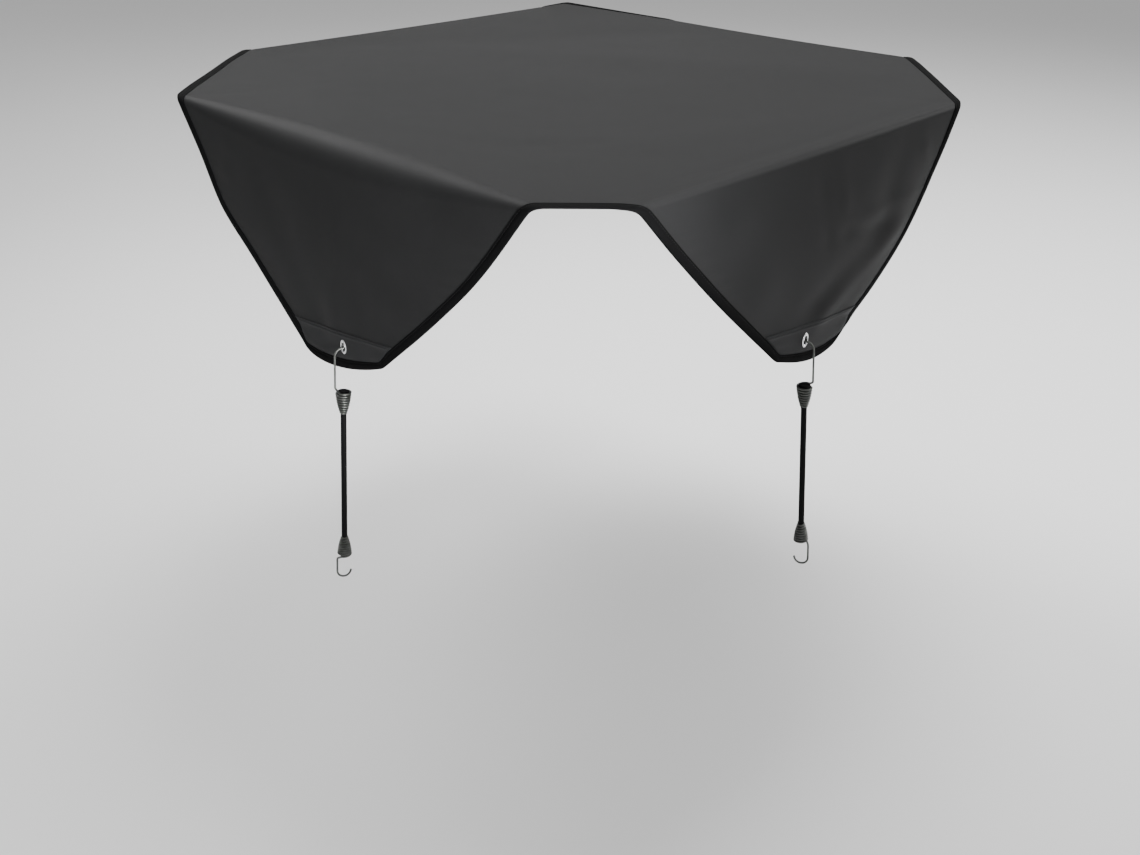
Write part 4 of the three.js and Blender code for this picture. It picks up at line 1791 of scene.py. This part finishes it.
@dataclass
class HookedCord:
    """An elastic cord with a wound wire hook at each end, hanging from one eyelet.

    A grip is its length, its wide end's radius and its narrow end's. The rows of core_mouth are
    (share of the wide radius, what is added to it, depth).
    """

    side: Side
    seat: EyeletPlace
    finishes: Finishes
    wire: float = 2.2
    bend_radius: float = 8.8
    bend_out: float = 1.5
    bend_top: float = 1.7
    tail: float = 5.0
    upper_drop: float = 50.0
    upper_grip: Triple = (28.0, 8.7, 4.1)
    lower_grip: Triple = (25.0, 8.2, 4.1)
    lower_shank: float = 20.0
    lower_bend: float = 7.5
    lower_tip: float = 0.2
    lower_flare: float = 0.4
    tip_clear: Pair = (0.5, 0.3)
    bend_clear: float = 2.0
    grip_clear: float = 3.0
    bend_steps: int = 20
    cord_diameter: float = 6.4
    gap: float = 0.3
    held: float = 18.0
    turns: float = 8.5
    flat_turns: float = 0.7
    turn_steps: int = 28
    coil_start: int = 4
    belly: float = 0.7
    core_mouth: tuple[Triple, ...] = (
        (0.0, 0.05, 1.2), (0.5, 0.0, 0.5), (1.0, -2.6, 1.0), (1.0, -2.0, 2.4),
    )
    core_shares: tuple[float, ...] = (0.2, 0.35, 0.5, 0.65, 0.8, 0.93)
    core_inset: float = 1.7
    core_end: Pair = (0.05, 0.97)
    core_sides: int = 28
    braid_sides: int = 32
    braid_step: float = 0.8
    braid_height: float = 0.13
    braid_strands: int = 4
    braid_pitch: float = 1.5
    route_points: int = 24
    wire_sides: int = 12
    wire_ease: float = 1.6
    wire_step: float = 0.8

    def __post_init__(self) -> None:
        """Works out the levels of the cord's ends."""
        self.cord_out = self.bend_out + self.bend_radius - self.upper_grip[1]
        self.cord_top = -self.upper_drop - self.upper_grip[0] - self.gap
        self.cord_end = self.cord_top - self.side.flap.cord
        self.lower_top = self.cord_end - self.gap
        swing, heading = -math.radians(self.side.flap.swing), self.side.heading()
        self.turned = np.array(Matrix.Rotation(heading, 3, "Z") @ Matrix.Rotation(swing, 3, "Y"))

    def out_there(self, points: Array) -> Array:
        """Points of the hanging cord's own frame, in the row frame."""
        return self.seat.centre + np.asarray(points, float) @ self.turned.T

    def _bend(self, out: float, up: float, radius: float, start: float) -> Array:
        """Half a turn in the plane of the hook, ending straight out from its centre.

        Args:
            out: How far out its centre is.
            up: How high its centre is.
            radius: Its radius.
            start: The angle that it starts at, in degrees.

        Returns:
            Its points.
        """
        angles = np.radians(np.linspace(start, 0, self.bend_steps + 1))
        across, rise = radius * np.cos(angles), radius * np.sin(angles)
        return np.stack([out + across, 0 * angles, up + rise], 1)

    def _grip_radius(self, grip: Triple, share: float | Array) -> float | Array:
        """The grip's outer radius.

        Args:
            grip: The grip.
            share: The share of the way from its wide end.

        Returns:
            The radius there.
        """
        flat = self.flat_turns / self.turns
        late = np.clip((share - flat) / (1 - flat), 0, 1)
        return mix(grip[1], grip[2], late) + self.belly * np.sin(np.pi * late)

    def _coil(self, grip: Triple, top: float, wide_at_top: bool) -> Array:
        """The wire's turns round the cord, from the wide end to the narrow one.

        Args:
            grip: The grip.
            top: The level of its upper end.
            wide_at_top: Whether its wide end is the upper one.

        Returns:
            The points of the wire's middle line, apart from the first few.
        """
        share = np.linspace(0, 1, int(self.turns * self.turn_steps))[self.coil_start:]
        angles = 2 * np.pi * self.turns * share
        radii = self._grip_radius(grip, share) - self.wire / 2
        run = self.wire / 2 + share * (grip[0] - self.wire)
        levels = top - run if wide_at_top else top - grip[0] + run
        return np.stack([self.cord_out + radii * np.cos(angles), radii * np.sin(angles), levels], 1)

    def _core(self, grip: Triple, top: float, wide_at_top: bool) -> tuple[Array, list[Face]]:
        """The cord's spread end inside the turns.

        Args:
            grip: The grip.
            top: The level of its upper end.
            wide_at_top: Whether its wide end is the upper one.

        Returns:
            Its points and faces.
        """
        length, wide, _ = grip
        rows = [(share * wide + more, depth) for share, more, depth in self.core_mouth]
        rows += [
            (float(self._grip_radius(grip, share)) - self.core_inset, share * length)
            for share in self.core_shares
        ]
        rows.append((self.core_end[0], self.core_end[1] * length))
        profile = np.array([(r, top - h if wide_at_top else top - length + h) for r, h in rows])
        points, faces = lathe(profile, self.core_sides, closed=False)
        return points + np.array([self.cord_out, 0, 0]), faces

    def _hook_path(self, end: End) -> Array:
        """The wire's whole line, from its free tip to the last turn round the cord.

        Args:
            end: Which hook it is.

        Returns:
            The line's points.
        """
        if end is End.UPPER:
            bend, base = -self.bend_top - self.bend_radius, -self.upper_drop
            shank = self.bend_out + self.bend_radius
            free = shank - 2 * self.bend_radius
            tip = [[free, 0, bend - self.tail], [free, 0, bend - self.tip_clear[0]]]
            arc = self._bend(self.bend_out, bend, self.bend_radius, 180)
            stem = [[shank, 0, bend - self.bend_clear], [shank, 0, base + self.grip_clear]]
            return np.concatenate([tip, arc, stem, self._coil(self.upper_grip, base, True)])
        base = self.lower_top - self.lower_grip[0]
        shank = self.cord_out + self.lower_grip[1]
        bend = base - self.lower_shank
        free = shank - 2 * self.lower_bend
        near = bend + self.tip_clear[1]
        tip = [[free - self.lower_flare, 0, bend + self.lower_tip], [free, 0, near]]
        arc = self._bend(shank - self.lower_bend, bend, self.lower_bend, -180)
        stem = [[shank, 0, bend + self.bend_clear], [shank, 0, base - self.grip_clear]]
        return np.concatenate([tip, arc, stem, self._coil(self.lower_grip, self.lower_top, False)])

    def hook(self, end: End) -> bpy.types.Object:
        """Makes one hook with its wound grip.

        Args:
            end: Which hook it is.

        Returns:
            The hook.
        """
        upper = end is End.UPPER
        grip = self.upper_grip if upper else self.lower_grip
        top = -self.upper_drop if upper else self.lower_top
        maker = MeshMaker()
        line = eased(self._hook_path(end), self.wire_ease, self.wire_step)
        points, faces, flats = tube(line, self.wire / 2, self.wire_sides)
        maker.add(self.out_there(points), faces, flats)
        points, faces = self._core(grip, top, upper)
        maker.add(self.out_there(points), faces, finish=1)
        name = self.side.flap.name
        finishes = [self.finishes.wire, self.finishes.braid]
        piece = maker.make(f"{end.value}_wire_hook_{name}", finishes)
        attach(piece, BODY)
        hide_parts(f"{end.value}_hook_{name}")
        return piece

    def _braid(self, levels: Array) -> Array:
        """The cord's radius at each level and side, with the crossing ridges of its braid.

        Args:
            levels: The levels.

        Returns:
            The radii, one row for each level.
        """
        angles = self.braid_strands * circle(self.braid_sides)[None, :]
        rise = levels[:, None] / self.braid_pitch
        lift = np.maximum(np.abs(np.sin(angles + rise)), np.abs(np.sin(angles - rise)))
        return self.cord_diameter / 2 - self.braid_height + self.braid_height * lift

    def build(self) -> list[bpy.types.Object]:
        """Returns:
            The cord and the hooks.
        """
        hooks = [self.hook(end) for end in End]
        length = self.side.flap.cord + 2 * self.held
        first, last = self.cord_top + self.held, self.cord_end - self.held
        levels = np.linspace(first, last, int(length / self.braid_step))
        path = np.stack([0 * levels + self.cord_out, 0 * levels, levels], 1)
        points, faces, flats = tube(path, self._braid(levels), self.braid_sides)
        maker = MeshMaker()
        maker.add(self.out_there(points), faces, flats)
        name = self.side.flap.name
        cord = maker.make(f"braided_cord_{name}", [self.finishes.braid])
        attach(cord, BODY)
        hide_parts(f"elastic_cord_{name}")
        route = self.out_there(path[:: max(len(path) // self.route_points, 1)])
        route = np.concatenate([route, self.out_there(path[-1:])])
        return [cord, *hooks]


def report(make: Callable[[], object], words: str) -> object:
    """Makes something and says so in the log.

    Args:
        make: What makes it.
        words: What it is, for the log.

    Returns:
        What was made.
    """
    made = make()
    LOG.info("made %s", words)
    return made


def main() -> None:
    """Builds the camera, the cords, the cloth and its trimmings, and the studio."""
    logging.basicConfig(level=logging.INFO, format="%(message)s")
    report(PhotoCamera().build, "the camera")
    finishes = Finishes()
    surface = CoverSurface()
    cloth = CoverCloth(surface, finishes)
    seats = [cloth.seat(k) for k in range(len(FLAPS))]
    for side, seat in zip(surface.sides, seats):
        name = side.flap.name
        report(HookedCord(side, seat, finishes).build, f"the hooked cord of the {name} flap")
    eyelet = Eyelet(finishes)
    trimmings = []
    for k, (side, seat) in enumerate(zip(surface.sides, seats)):
        name = side.flap.name
        trimmings += [
            report(partial(cloth.patch, k, seat), f"the patch of the {name} flap"),
            report(partial(eyelet.build, side, seat), f"the {name} eyelet"),
        ]
    binding = EdgeBinding(surface, finishes)
    trimmings.append(report(binding.build, "the edge binding"))
    seams = [cloth.seam_line(k) for k in range(len(FLAPS))]
    rows = (
        ("tape_stitches", binding.seam_lines(), Slot.TAPE, "the tape's stitches"),
        ("seam_stitches", seams, Slot.PATCH, "the patches' stitches"),
    )
    stitching = Stitching(finishes)
    for name, lines, slot, words in rows:
        trimmings.append(report(partial(stitching.build, name, lines, slot), words))
    sheet = report(partial(cloth.cloth, seats), "the cloth")
    report(Studio().build, "the studio")


if __name__ == "__main__":
    main()
